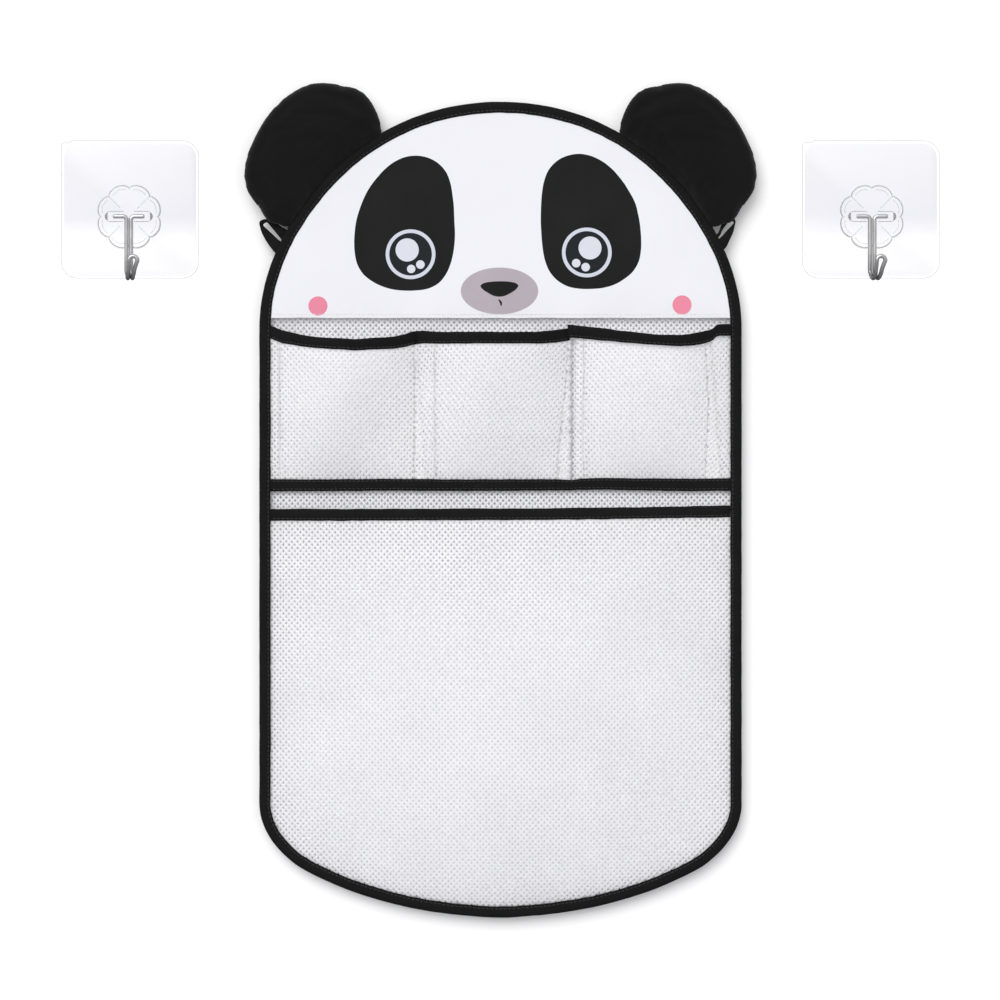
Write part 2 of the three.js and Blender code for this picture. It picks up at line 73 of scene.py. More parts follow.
camera_data = bpy.data.cameras.new("camera")
camera_data.lens = 120
camera_data.sensor_width = 36
camera = bpy.data.objects.new("camera", camera_data)
camera.location = Vector(CAM) / 1000
camera.rotation_euler = (math.pi / 2, 0, 0)
scene.collection.objects.link(camera)
scene.camera = camera


def at(px, py, y=-5.0):
    """The point at depth y, mm, that shows at px, py in the picture."""
    k = (y - CAM[1]) / (-5.0 - CAM[1])
    return np.array((CAM[0] + (px - 500) * PX * k, y, CAM[2] + (500 - py) * PX * k))


# ------------------------------------------------------------------ sizes, mm, as in the CAD

HALF_W, HEAD_Z, HEAD_RISE, HEAD_LEAN = 175.0, -74.7, 164.3, 0.0143
BOTTOM = [
    (175, -413), (174.9, -422.7), (173.3, -431.4), (169.7, -440.1), (164.2, -448.8), (156.2, -457.5),
    (145, -466.2), (128, -474.9), (106.9, -483.6), (78.3, -492.3), (49.3, -498.1), (22.5, -501.2), (0, -502.4),
]
BIND_W, BIND_T = 8.2, 6.4
FACE_BOTTOM = -67.4
SEAM_Y = -4.1
SEAM_X = [-166.8, -60.5, 51.9, 166.8]
FLOOR_Z = -184.2
DEPTH = [25, 22, 25]
LARGE_DEPTH, LARGE_MOUTH = 26.0, -204.6
HOOK_X, HOOK_Z, HOOK_SIZE, HOOK_CORNER = 269.0, 11.6, 100.4, 12.3
BOSS_Z = 5.8
WIRE_Y = -9.5

# ------------------------------------------------------------------ materials


def srgb(r, g, b):
    f = lambda c: c / 12.92 if c <= 0.04045 else ((c + 0.055) / 1.055) ** 2.4
    return (f(r / 255), f(g / 255), f(b / 255), 1)


class Mat:
    """A Principled material with a few node helpers."""

    def __init__(self, name, rough=0.8, **sockets):
        self.m = bpy.data.materials.new(name)
        self.m.use_nodes = True
        self.t = self.m.node_tree
        self.bsdf = self.t.nodes["Principled BSDF"]
        self.bsdf.inputs["Roughness"].default_value = rough
        for key, value in sockets.items():
            self.bsdf.inputs[key.replace("_", " ")].default_value = value
        self._object = None

    def node(self, kind, **props):
        n = self.t.nodes.new(kind)
        for key, value in props.items():
            setattr(n, key, value)
        return n

    def link(self, a, b):
        self.t.links.new(a, b)

    @property
    def place(self):
        if self._object is None:
            self._object = self.node("ShaderNodeTexCoord").outputs["Object"]
        return self._object

    def noise(self, scale, detail=3.0, rough=0.5, vector=None):
        n = self.node("ShaderNodeTexNoise")
        n.inputs["Scale"].default_value = scale
        n.inputs["Detail"].default_value = detail
        n.inputs["Roughness"].default_value = rough
        self.link(vector or self.place, n.inputs["Vector"])
        return n.outputs["Fac"]

    def bands(self, axis, pitch, vector=None, distort=0.0):
        """A sine wave along an axis, with that many metres from crest to crest."""
        n = self.node("ShaderNodeTexWave", wave_type="BANDS", bands_direction=axis, wave_profile="SIN")
        n.inputs["Scale"].default_value = 2 * math.pi / 20 / pitch
        n.inputs["Distortion"].default_value = distort
        self.link(vector or self.place, n.inputs["Vector"])
        return n.outputs["Fac"]

    def math(self, op, a, b=None):
        n = self.node("ShaderNodeMath", operation=op)
        for k, v in enumerate((a, b)):
            if v is None:
                continue
            if isinstance(v, (int, float)):
                n.inputs[k].default_value = v
            else:
                self.link(v, n.inputs[k])
        return n.outputs[0]

    def ramp(self, fac, stops):
        n = self.node("ShaderNodeValToRGB")
        e = n.color_ramp.elements
        while len(e) < len(stops):
            e.new(0.5)
        for k, (p, c) in enumerate(stops):
            e[k].position = p
            e[k].color = c
        self.link(fac, n.inputs["Fac"])
        return n.outputs["Color"]

    def colour(self, socket):
        self.link(socket, self.bsdf.inputs["Base Color"])

    def roughness(self, fac, low, high):
        n = self.node("ShaderNodeMapRange")
        n.inputs["To Min"].default_value = low
        n.inputs["To Max"].default_value = high
        self.link(fac, n.inputs["Value"])
        self.link(n.outputs["Result"], self.bsdf.inputs["Roughness"])

    def bump(self, height, strength, distance):
        n = self.node("ShaderNodeBump")
        n.inputs["Strength"].default_value = strength
        n.inputs["Distance"].default_value = distance
        self.link(height, n.inputs["Height"])
        self.link(n.outputs["Normal"], self.bsdf.inputs["Normal"])


def grey(v, tint=(1, 1, 1)):
    return (v * tint[0], v * tint[1], v * tint[2], 1)


def scaled(c, k):
    return (min(1, c[0] * k), min(1, c[1] * k), min(1, c[2] * k), 1)


def weave_material(name, colour, low=0.86, high=1.1, thread=0.00062, rough=0.82, sheen=0.12, bump=0.3, blotch=34, shine=0.12):
    """Plain woven cloth: threads over and under, with a little unevenness of dye."""
    m = Mat(name, rough, Sheen_Weight=sheen, Sheen_Roughness=0.45, Specular_IOR_Level=shine)
    warp, weft = m.bands("X", thread), m.bands("Z", thread)
    cells = m.math("MAXIMUM", m.math("MULTIPLY", warp, m.math("SUBTRACT", 1.0, weft)), m.math("MULTIPLY", weft, m.math("SUBTRACT", 1.0, warp)))
    tone = m.math("ADD", m.math("MULTIPLY", m.noise(blotch, 4), 0.75), m.math("MULTIPLY", cells, 0.25))
    m.colour(m.ramp(tone, [(0.25, scaled(colour, low)), (0.75, scaled(colour, high))]))
    m.roughness(m.noise(blotch * 3, 3), rough - 0.06, min(1, rough + 0.08))
    m.bump(m.math("ADD", cells, m.math("MULTIPLY", m.noise(900, 2), 0.5)), bump, 0.0002)
    return m.m


def tape_material(name, colour, rough=0.72):
    """Ribbed binding tape. The map named tape runs along it in x and across it in y, in metres."""
    m = Mat(name, rough, Sheen_Weight=0.03, Sheen_Roughness=0.35, Specular_IOR_Level=0.11)
    uv = m.node("ShaderNodeUVMap", uv_map="tape").outputs["UV"]
    ribs = m.bands("X", 0.00105, uv)
    cross = m.bands("Y", 0.00055, uv)
    tone = m.math("ADD", m.math("MULTIPLY", m.noise(45, 4), 0.7), m.math("MULTIPLY", ribs, 0.3))
    m.colour(m.ramp(tone, [(0.28, scaled(colour, 0.72)), (0.72, scaled(colour, 1.3))]))
    m.roughness(m.noise(160, 3), rough - 0.1, min(1, rough + 0.1))
    m.bump(m.math("ADD", ribs, m.math("MULTIPLY", cross, 0.35)), 0.55, 0.00025)
    return m.m


def net_material(name, colour, sheer=0.0):
    """Knitted polyester yarn: twisted filaments and a faint unevenness of white. sheer is the share of light that comes through it."""
    m = Mat(name, 0.62, Sheen_Weight=0.08, Sheen_Roughness=0.4, Specular_IOR_Level=0.35)
    tone = m.math("ADD", m.math("MULTIPLY", m.noise(22, 3), 0.6), m.math("MULTIPLY", m.noise(1400, 2), 0.4))
    m.colour(m.ramp(tone, [(0.3, scaled(colour, 0.94)), (0.7, scaled(colour, 1.03))]))
    m.bump(m.noise(2600, 2), 0.25, 0.00015)
    if sheer:
        through = m.node("ShaderNodeBsdfTranslucent")
        through.inputs["Color"].default_value = scaled(colour, 1.04)
        mix = m.node("ShaderNodeMixShader")
        mix.inputs["Fac"].default_value = sheer
        m.link(m.bsdf.outputs[0], mix.inputs[1])
        m.link(through.outputs[0], mix.inputs[2])
        m.link(mix.outputs[0], m.t.nodes["Material Output"].inputs["Surface"])
    return m.m


def thread_material(name, colour):
    m = Mat(name, 0.6, Sheen_Weight=0.15, Specular_IOR_Level=0.4)
    twist = m.bands("DIAGONAL", 0.0006)
    m.colour(m.ramp(twist, [(0.2, scaled(colour, 0.8)), (0.8, scaled(colour, 1.2))]))
    m.bump(twist, 0.4, 0.0001)
    return m.m


def clear_material(name, colour, alpha, rough=0.08):
    """Clear moulded plastic with faint flow marks: thin enough to show what is behind it unbent."""
    m = Mat(name, rough, IOR=1.46, Alpha=alpha)
    m.colour(m.ramp(m.noise(35, 3), [(0.3, scaled(colour, 0.94)), (0.7, scaled(colour, 1.05))]))
    m.roughness(m.noise(60, 3), rough, rough + 0.08)
    return m.m


def film_material(name):
    """Adhesive film on its pale backing: milky, darker and a little bluer over the upper half, with an uneven line
    between the two.
    """
    m = Mat(name, 0.5)
    split = m.node("ShaderNodeSeparateXYZ")
    m.link(m.place, split.inputs[0])
    span = m.node("ShaderNodeMapRange")
    span.inputs["From Min"].default_value, span.inputs["From Max"].default_value = -0.04, 0.062
    m.link(split.outputs["Z"], span.inputs["Value"])
    height = m.math("ADD", span.outputs["Result"], m.math("MULTIPLY", m.math("SUBTRACT", m.noise(30, 3), 0.5), 0.1))
    m.colour(m.ramp(height, [(0.28, (0.83, 0.83, 0.835, 1)), (0.46, (0.678, 0.678, 0.715, 1)), (0.75, (0.682, 0.682, 0.71, 1)), (1.0, (0.7, 0.7, 0.715, 1))]))
    m.roughness(m.noise(80, 4), 0.42, 0.58)
    return m.m


def steel_material(name):
    """Drawn steel wire: fine lines along it and a few dull spots; the bend at the bottom is painted darker, painted
    shade standing in for the dark reflections seen there.
    """
    m = Mat(name, 0.24, Metallic=1.0)
    lines = m.noise(700, 3)
    part = m.node("ShaderNodeSeparateXYZ")
    m.link(m.place, part.inputs[0])
    bend = m.node("ShaderNodeMapRange")
    bend.inputs["From Min"].default_value, bend.inputs["From Max"].default_value = -0.036, -0.021
    m.link(part.outputs["Z"], bend.inputs["Value"])
    # Painted shade: the colour darkens towards the bottom of the bend, standing in for dark reflections there; the
    # noise adds dull spots.
    spots_and_painted_bend_shade = m.math("MULTIPLY", bend.outputs["Result"], m.math("ADD", m.noise(120, 4), 0.35))
    m.colour(m.ramp(spots_and_painted_bend_shade, [(0.0, (0.2, 0.2, 0.203, 1)), (0.6, (0.39, 0.39, 0.393, 1)), (1.0, (0.49, 0.49, 0.493, 1))]))
    m.roughness(lines, 0.24, 0.36)
    m.bump(lines, 0.08, 0.0001)
    return m.m


def foam_material(name, colour):
    """Foamed sheet or wadding: fine cells and fibres."""
    m = Mat(name, 0.92, Sheen_Weight=0.1)
    m.colour(m.ramp(m.noise(420, 5), [(0.3, scaled(colour, 0.88)), (0.7, scaled(colour, 1.04))]))
    m.bump(m.noise(700, 4), 0.35, 0.0006)
    return m.m


# The back net and the pocket net are one white yarn; the back net's white is set much darker, painted shade for the
# shade it lies in behind the face and pockets.
NET_BACK_PAINTED_SHADE = net_material("net_white_painted_shade", (0.775, 0.775, 0.8, 1), 0.05)
NET_SHEER = net_material("net_sheer", (0.965, 0.963, 0.985, 1), 0.56)
TAPE = tape_material("binding_black", grey(0.0045, (0.99, 1.0, 1.01)))
EAR = weave_material("ear_black", grey(0.0042, (0.99, 1, 1.02)), 0.75, 1.35, 0.0007, 0.9, 0.16, 0.35, 18, 0.1)
FACE = weave_material("face_white", (0.716, 0.717, 0.752, 1), 0.975, 1.02, 0.00062, 0.84, 0.03, 0.2, 16)
PRINT_BLACK = weave_material("print_black", grey(0.0112, (0.99, 1, 1.01)), 0.85, 1.2, 0.00062, 0.85, 0.02, 0.25, 30)
PRINT_EYE = weave_material("print_eye", (0.0145, 0.0175, 0.0205, 1), 0.85, 1.2, 0.00062, 0.85, 0.02, 0.25, 40)
PRINT_SHINE = weave_material("print_shine", (0.60, 0.615, 0.675, 1), 0.96, 1.03, 0.00062, 0.84, 0.03, 0.2, 40)
PRINT_RING = weave_material("print_ring", (0.545, 0.572, 0.645, 1), 0.96, 1.03, 0.00062, 0.84, 0.03, 0.2, 40)
PRINT_MUZZLE = weave_material("print_muzzle", (0.394, 0.347, 0.388, 1), 0.94, 1.06, 0.00062, 0.84, 0.03, 0.2, 26)
PRINT_CHEEK = weave_material("print_cheek", (0.70, 0.225, 0.31, 1), 0.94, 1.06, 0.00062, 0.84, 0.03, 0.2, 26)
THREAD_BLACK = thread_material("thread_black", grey(0.0065))
THREAD_WHITE = thread_material("thread_white", grey(0.74))
CLEAR = clear_material("clear_plastic", (0.8, 0.8, 0.86, 1), 0.03)
# The edge, step and groove materials are grey and part-opaque: painted shade for the dark lines that refraction draws
# where clear plastic turns away.
CLEAR_EDGE_PAINTED_SHADE = clear_material("clear_plastic_edge_painted_shade", (0.26, 0.26, 0.28, 1), 0.32)
CLEAR_BOSS = clear_material("clear_plastic_boss", (0.85, 0.85, 0.88, 1), 0.02)
CLEAR_STEP_PAINTED_SHADE = clear_material("clear_plastic_step_painted_shade", (0.17, 0.17, 0.18, 1), 0.58)
CLEAR_GROOVE_PAINTED_SHADE = clear_material("clear_plastic_groove_painted_shade", (0.28, 0.28, 0.3, 1), 0.2)
FILM = film_material("adhesive_film")
STEEL = steel_material("drawn_steel")
BOARD = foam_material("foamed_board", grey(0.84))
WADDING = foam_material("wadding_white", grey(0.88))

# ------------------------------------------------------------------ mesh helpers


def make(name, verts, faces, materials, slots=None, sharp=None, uv=None, uv_name="tape", outward=False):
    """A mesh object from points in mm. uv is one pair per face corner."""
    mesh = bpy.data.meshes.new(name)
    mesh.from_pydata((np.asarray(verts, float) / 1000).tolist(), [], faces.tolist() if isinstance(faces, np.ndarray) else faces)
    for m in materials:
        mesh.materials.append(m)
    if slots is not None:
        mesh.polygons.foreach_set("material_index", np.asarray(slots, np.int32))
    if uv is not None:
        layer = mesh.uv_layers.new(name=uv_name)
        layer.data.foreach_set("uv", np.asarray(uv, np.float32).ravel())
    mesh.polygons.foreach_set("use_smooth", np.ones(len(mesh.polygons), bool))
    if outward:
        bm = bmesh.new()
        bm.from_mesh(mesh)
        bmesh.ops.recalc_face_normals(bm, faces=bm.faces)
        bm.to_mesh(mesh)
        bm.free()
    if sharp is not None:
        mesh.set_sharp_from_angle(angle=math.radians(sharp))
    mesh.update()
    o = bpy.data.objects.new(name, mesh)
    scene.collection.objects.link(o)
    return o


def sweep(name, rings, material, closed=False, lengths=None, sharp=50):
    """A section carried along a path: rings is (stations, section points, 3) in mm."""
    rings = np.asarray(rings, float)
    n, m = rings.shape[:2]
    if lengths is None:
        mid = rings.mean(1)
        steps = np.linalg.norm(np.diff(np.vstack([mid, mid[:1]]), axis=0), axis=1)
        lengths = np.concatenate([[0], np.cumsum(steps)])
    girth = np.concatenate([[0], np.cumsum(np.linalg.norm(np.diff(np.vstack([rings[0], rings[0][:1]]), axis=0), axis=1))])
    faces, uv = [], []
    for k in range(n if closed else n - 1):
        k2 = (k + 1) % n
        for i in range(m):
            i2 = (i + 1) % m
            faces.append((k * m + i, k2 * m + i, k2 * m + i2, k * m + i2))
            uv += [(lengths[k], girth[i]), (lengths[k + 1], girth[i]), (lengths[k + 1], girth[i + 1]), (lengths[k], girth[i + 1])]
    if not closed:
        faces.append(tuple(range(m)))
        faces.append(tuple(reversed([(n - 1) * m + i for i in range(m)])))
        uv += [(0, girth[i]) for i in range(m)] + [(lengths[n - 1], girth[i]) for i in reversed(range(m))]
    # Corner order changes if a face is turned, so the map is laid before the normals are made to agree.
    return make(name, rings.reshape(-1, 3), faces, [material], uv=np.array(uv) / 1000, sharp=sharp, outward=True)


def catmull(points, step, closed=False):
    """A smooth line through points, with evenly spaced points along it."""
    p = np.asarray(points, float)
    q = np.vstack([p[-1], p, p[:2]]) if closed else np.vstack([2 * p[0] - p[1], p, 2 * p[-1] - p[-2]])
    out = []
    for k in range(1, len(q) - 2):
        a, b, c, d = q[k - 1], q[k], q[k + 1], q[k + 2]
        for t in np.linspace(0, 1, 12, endpoint=False):
            out.append(0.5 * (2 * b + (c - a) * t + (2 * a - 5 * b + 4 * c - d) * t * t + (3 * b - a - 3 * c + d) * t ** 3))
    if not closed:
        out.append(q[-2])
    return even(np.array(out), step, closed)


def even(line, step, closed=False):
    line = np.asarray(line, float)
    ring = np.vstack([line, line[:1]]) if closed else line
    s = np.concatenate([[0], np.cumsum(np.linalg.norm(np.diff(ring, axis=0), axis=1))])
    n = max(2, int(round(s[-1] / step)))
    want = np.linspace(0, s[-1], n, endpoint=False) if closed else np.linspace(0, s[-1], n + 1)
    return np.column_stack([np.interp(want, s, ring[:, k]) for k in range(ring.shape[1])])


def wobble(s, scale, seed):
    """Smooth unevenness from -1 to 1 along a length."""
    return np.array([noise.noise((v / scale, seed * 7.31, 0.5)) for v in np.atleast_1d(s)])


def wobble2(x, z, scale, seed):
    return np.array([noise.noise((a / scale, b / scale, seed * 3.7)) for a, b in zip(np.ravel(x), np.ravel(z))]).reshape(np.shape(x))


def unit(v):
    v = np.asarray(v, float)
    return v / np.maximum(np.linalg.norm(v, axis=-1, keepdims=True), 1e-9)


def stitches(name, line, up, material, pitch=3.2, share=0.74, radius=0.3, closed=False):
    """A row of sewn stitches: each a short thread that rises out of the cloth and dips back in."""
    line, up = np.asarray(line, float), np.asarray(up, float)
    ring = np.vstack([line, line[:1]]) if closed else line
    ups = np.vstack([up, up[:1]]) if closed else up
    s = np.concatenate([[0], np.cumsum(np.linalg.norm(np.diff(ring, axis=0), axis=1))])
    count = int(s[-1] / pitch)
    verts, faces = [], []
    profile = [(0.0, 0.45, -0.35), (0.2, 0.95, 0.3), (0.5, 1.0, 0.5), (0.8, 0.95, 0.3), (1.0, 0.45, -0.35)]
    sides = 6
    for k in range(count):
        s0 = (k + 0.12) * s[-1] / count
        base = len(verts)
        for f, fat, lift in profile:
            v = s0 + f * share * pitch
            p = np.array([np.interp(v, s, ring[:, c]) for c in range(3)])
            q = np.array([np.interp(v + 0.2, s, ring[:, c]) for c in range(3)])
            n = unit(np.array([np.interp(v, s, ups[:, c]) for c in range(3)]))
            along = unit(q - p) if np.linalg.norm(q - p) > 1e-6 else unit(ring[-1] - ring[-2])
            side = np.cross(n, along)
            for i in range(sides):
                a = 2 * math.pi * i / sides
                verts.append(p + n * radius * (lift + fat * math.sin(a) * 0.8) + side * radius * fat * math.cos(a))
        for r in range(len(profile) - 1):
            for i in range(sides):
                a, b = base + r * sides + i, base + r * sides + (i + 1) % sides
                faces.append((a, b, b + sides, a + sides))
        faces.append(tuple(base + i for i in reversed(range(sides))))
        faces.append(tuple(base + (len(profile) - 1) * sides + i for i in range(sides)))
    return make(name, verts, faces, [material], outward=True)


# ------------------------------------------------------------------ the panel's outline


def head_reach(a):
    """How far the head reaches along an angle, as a share of its ellipse: it is drawn in at the shoulders."""
    return 1 - HEAD_LEAN * np.sin(2 * a) ** 2 * (1 + 0.8 * np.cos(2 * a))


def head_line(a, d=0.0):
    """Points of the head's outline, moved in by d."""
    q = head_reach(a)
    return np.column_stack([(HALF_W - d) * np.cos(a) * q, HEAD_Z + (HEAD_RISE - d) * np.sin(a) * q])


def outline():
    head = head_line(np.linspace(0, math.pi, 181))
    low = [(-w, z) for w, z in BOTTOM] + [(w, z) for w, z in BOTTOM[-2::-1]]
    low = catmull(low, 2.0)
    left = np.column_stack([np.full(40, -HALF_W), np.linspace(HEAD_Z, BOTTOM[0][1], 42)[1:-1]])
    right = np.column_stack([np.full(40, HALF_W), np.linspace(BOTTOM[0][1], HEAD_Z, 42)[1:-1]])
    return even(np.vstack([head, left, low, right]), 2.4, closed=True)


EDGE = outline()
EDGE_N = np.roll(EDGE, -1, 0) - np.roll(EDGE, 1, 0)
EDGE_N = unit(np.column_stack([EDGE_N[:, 1], -EDGE_N[:, 0]]))  # outward


def inset(d):
    return EDGE - EDGE_N * d


def floor_line(d):
    p = inset(d)
    p = p[p[:, 1] < -400]
    return p[np.argsort(p[:, 0])]


FLOORS = {}


def floor_at(x, d):
    """Height of the bottom edge at x, moved in by d."""
    if d not in FLOORS:
        FLOORS[d] = floor_line(d)
    f = FLOORS[d]
    return np.interp(x, f[:, 0], f[:, 1])


def inside(x, z, d):
    """Whether points lie in the panel, moved in by d."""
    u, v = x / (HALF_W - d), np.maximum(z - HEAD_Z, 0) / (HEAD_RISE - d)
    head = np.hypot(u, v) <= head_reach(np.arctan2(v, u))
    return head & (np.abs(x) <= HALF_W - d) & (z >= floor_at(x, d))


# ------------------------------------------------------------------ net cloth


def net(name, box, keep, place, material, pitch=(4.2, 2.27), hole=(0.88, 1.09), thick=0.62, seed=1, band=None):
    """Knitted net: offset rows of diamond holes, with yarn of real thickness between them.
    box is x0, x1, z0, z1 in the cloth; keep says which holes are there; place puts the cloth in the frame.
    band keeps only the yarn between two heights, so that one cloth can be made in lengths."""
    x0, x1, z0, z1 = box
    P, R = pitch
    a, b = hole
    ni, nj = int((x1 - x0) / P) + 2, int((z1 - z0) / R) + 2
    j, i = np.mgrid[0:nj, 0:ni]
    cx, cz = x0 + i * P + (j % 2) * P / 2, z0 + j * R
    ok = keep(cx, cz)
    ids = np.full((nj + 2, ni + 3), -1)
    ids[1:-1, 1:-2][ok] = np.arange(ok.sum())
    jj, ii = np.nonzero(ok)
    odd = jj % 2
    h = ids[jj + 1, ii + 1]
    right = ids[jj + 1, ii + 2]
    ur, ul = ids[jj + 2, ii + 1 + odd], ids[jj + 2, ii + odd]
    dr = ids[jj, ii + 1 + odd]
    rng = np.random.default_rng(seed)
    count = len(h)
    size = 1 + rng.normal(0, 0.035, ok.shape)[jj, ii][:, None]
    centre = np.column_stack([cx[jj, ii] + rng.normal(0, 0.05, ok.shape)[jj, ii], cz[jj, ii] + rng.normal(0, 0.05, ok.shape)[jj, ii]])
    star = np.array([(a, 0), (0, b), (-a, 0), (0, -b)])
    corner = (centre[:, None, :] + star[None] * size[:, :, None]).reshape(-1, 2)
    R_, T_, L_, B_ = 0, 1, 2, 3
    quads = []
    m = ur >= 0
    quads.append(np.column_stack([4 * h[m] + R_, 4 * ur[m] + B_, 4 * ur[m] + L_, 4 * h[m] + T_]))
    m = ul >= 0
    quads.append(np.column_stack([4 * h[m] + T_, 4 * ul[m] + R_, 4 * ul[m] + B_, 4 * h[m] + L_]))
    m = (right >= 0) & (ur >= 0) & (dr >= 0)
    quads.append(np.column_stack([4 * h[m] + R_, 4 * dr[m] + T_, 4 * right[m] + L_, 4 * ur[m] + B_]))
    top = np.vstack(quads)
    if band:
        height = corner[top, 1].mean(1)
        top = top[(height >= band[0]) & (height < band[1])]
    n = 4 * count
    edges = np.vstack([top[:, [k, (k + 1) % 4]] for k in range(4)])
    key = edges.min(1).astype(np.int64) * n + edges.max(1)
    _, back, times = np.unique(key, return_inverse=True, return_counts=True)
    rim = edges[times[back] == 1]
    walls = np.column_stack([rim[:, 1], rim[:, 0], rim[:, 0] + n, rim[:, 1] + n])
    faces = np.vstack([top, top[:, ::-1] + n, walls])
    mid, normal = place(corner[:, 0], corner[:, 1])
    verts = np.vstack([mid + normal * thick / 2, mid - normal * thick / 2])
    used = np.zeros(2 * n, bool)
    used[faces.ravel()] = True
    renumber = np.cumsum(used) - 1
    # The bake's map: front on the left half, back on the right, each hole's walls inside its own hole.
    span = np.array([x1 - x0 + P, z1 - z0 + R])
    flat = (corner - (x0 - P / 2, z0 - R / 2)) / span * (0.48, 0.96) + (0.01, 0.02)
    heart = np.repeat((centre - (x0 - P / 2, z0 - R / 2)) / span * (0.48, 0.96) + (0.01, 0.02), 4, 0)
    inner = flat + (heart - flat) * 0.45
    own = rim[:, 0] // 4 == rim[:, 1] // 4
    low0 = np.where(own[:, None], inner[rim[:, 0]], flat[rim[:, 0]] + 0.0004)
    low1 = np.where(own[:, None], inner[rim[:, 1]], flat[rim[:, 1]] + 0.0004)
    uv = np.concatenate([
        flat[top], flat[top[:, ::-1]] + (0.5, 0),
        np.stack([flat[rim[:, 1]], flat[rim[:, 0]], low0, low1], 1),
    ])
    o = make(name, verts[used], renumber[faces], [material], uv=uv, uv_name="OFBake")
    two = np.vstack([corner, corner])[used]
    print(name, "holes", count, "triangles", 2 * len(faces))
    return o, two


def straight(y):
    """Cloth held flat at depth y."""
    def put(x, z):
        return np.column_stack([x, np.full_like(x, y), z]), np.tile((0.0, -1.0, 0.0), (len(x), 1))
    return put


def mapped(where):
    """Cloth laid by where(s, z) into the frame, with its thickness along its own normal."""
    def put(s, z):
        e = 0.5
        along = where(s + e, z) - where(s - e, z)
        up = where(s, z + e) - where(s, z - e)
        return where(s, z), unit(np.cross(along, up))
    return put


def set_blend(o, weights):
    """Bakes the object's placement into its mesh; the weights it is given are not used."""
    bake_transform(o)
    np.asarray(weights, np.float32)
    return o


def points_of(o):
    co = np.zeros(len(o.data.vertices) * 3)
    o.data.vertices.foreach_get("co", co)
    return co.reshape(-1, 3) * 1000


# Back of the panel: one cloth, in four lengths so that no one mesh is too heavy.
BACK_Y = -1.5
for name, z0, z1 in [("back_net_head", -58, 95), ("back_net_pockets", -188, -58), ("back_net_upper", -345, -188), ("back_net_lower", -505, -345)]:
    o, _ = net(name, (-174.3, 174, -504, 92), lambda x, z: inside(x, z, 3.6) & (z > z0 - 8) & (z < z1 + 8), straight(BACK_Y), NET_BACK_PAINTED_SHADE, hole=(1.07, 1.32), seed=11, band=(z0, z1))
    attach(o, "panel")
    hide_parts("back_mesh_panel")


def arch(u, soft=1.0):
    return (1 - np.clip(np.abs(2 * u - 1), 0, 1) ** 2) ** soft


SOFT = 1.35  # the small pockets start flat at their seams
TUCK = [0.45, 0.45, 0.75]


def rise(t):
    return np.sin(math.pi / 2 * np.clip(t, 0, 1)) ** 0.9


def belly(t):
    return np.sin(math.pi * 0.8 * np.clip(t, 0, 1) ** 0.7)


# Mouth tapes: x, top and bottom of the tape as they show in the picture.
MOUTHS = [
    [(270, 325, 338), (282, 330, 343), (300, 334.5, 346.4), (316, 337, 348), (354, 339, 350.4), (394, 336.6, 348.9), (406, 333.7, 346.6), (412, 331.6, 345), (417.5, 331, 344.2)],
    [(416.5, 331, 344.2), (423, 330.6, 343.2), (445, 331.8, 343.7), (500, 332, 343.7), (534, 331.8, 343.6), (555, 330, 342.8), (567, 328.4, 340.8), (571.5, 327.8, 340.3)],
    [(567.6, 324.8, 338.2), (573, 325.2, 338), (586, 326.6, 339.2), (605, 328.4, 340.8), (620, 330.6, 342.4), (655, 334.4, 345.2), (680, 335, 346.4), (690, 334.2, 346), (701.6, 331.8, 344.5), (709, 330.2, 342), (713, 328.4, 340), (716, 325.2, 337), (719, 324.3, 336.2), (732, 324, 336)],
]
POCKETS = ["left", "middle", "right"]
# Pleats, where the cloth lies three deep: left and right edge as they show, at three heights in the picture.
PLEAT_Y = [345, 400, 440, 475]
PLEATS = [
    [[(278.3, 281.8), (278.3, 281.2), (278.6, 281.8), (278.8, 282.4)]],
    [[(413.8, 417.6), (413.8, 419.8), (413.8, 424.4), (413.6, 425.4)], [(434.0, 437), (434.0, 437), (434.4, 437.2), (434.8, 437.4)], [(567.2, 572.2), (564, 572.2), (559, 572.1), (557.4, 572)]],
    [[(583.2, 586.4), (583.2, 588), (583.2, 588.2), (583.4, 587.6)], [(704, 711.8), (708, 716), (706.6, 718.6), (705, 722)]],
]


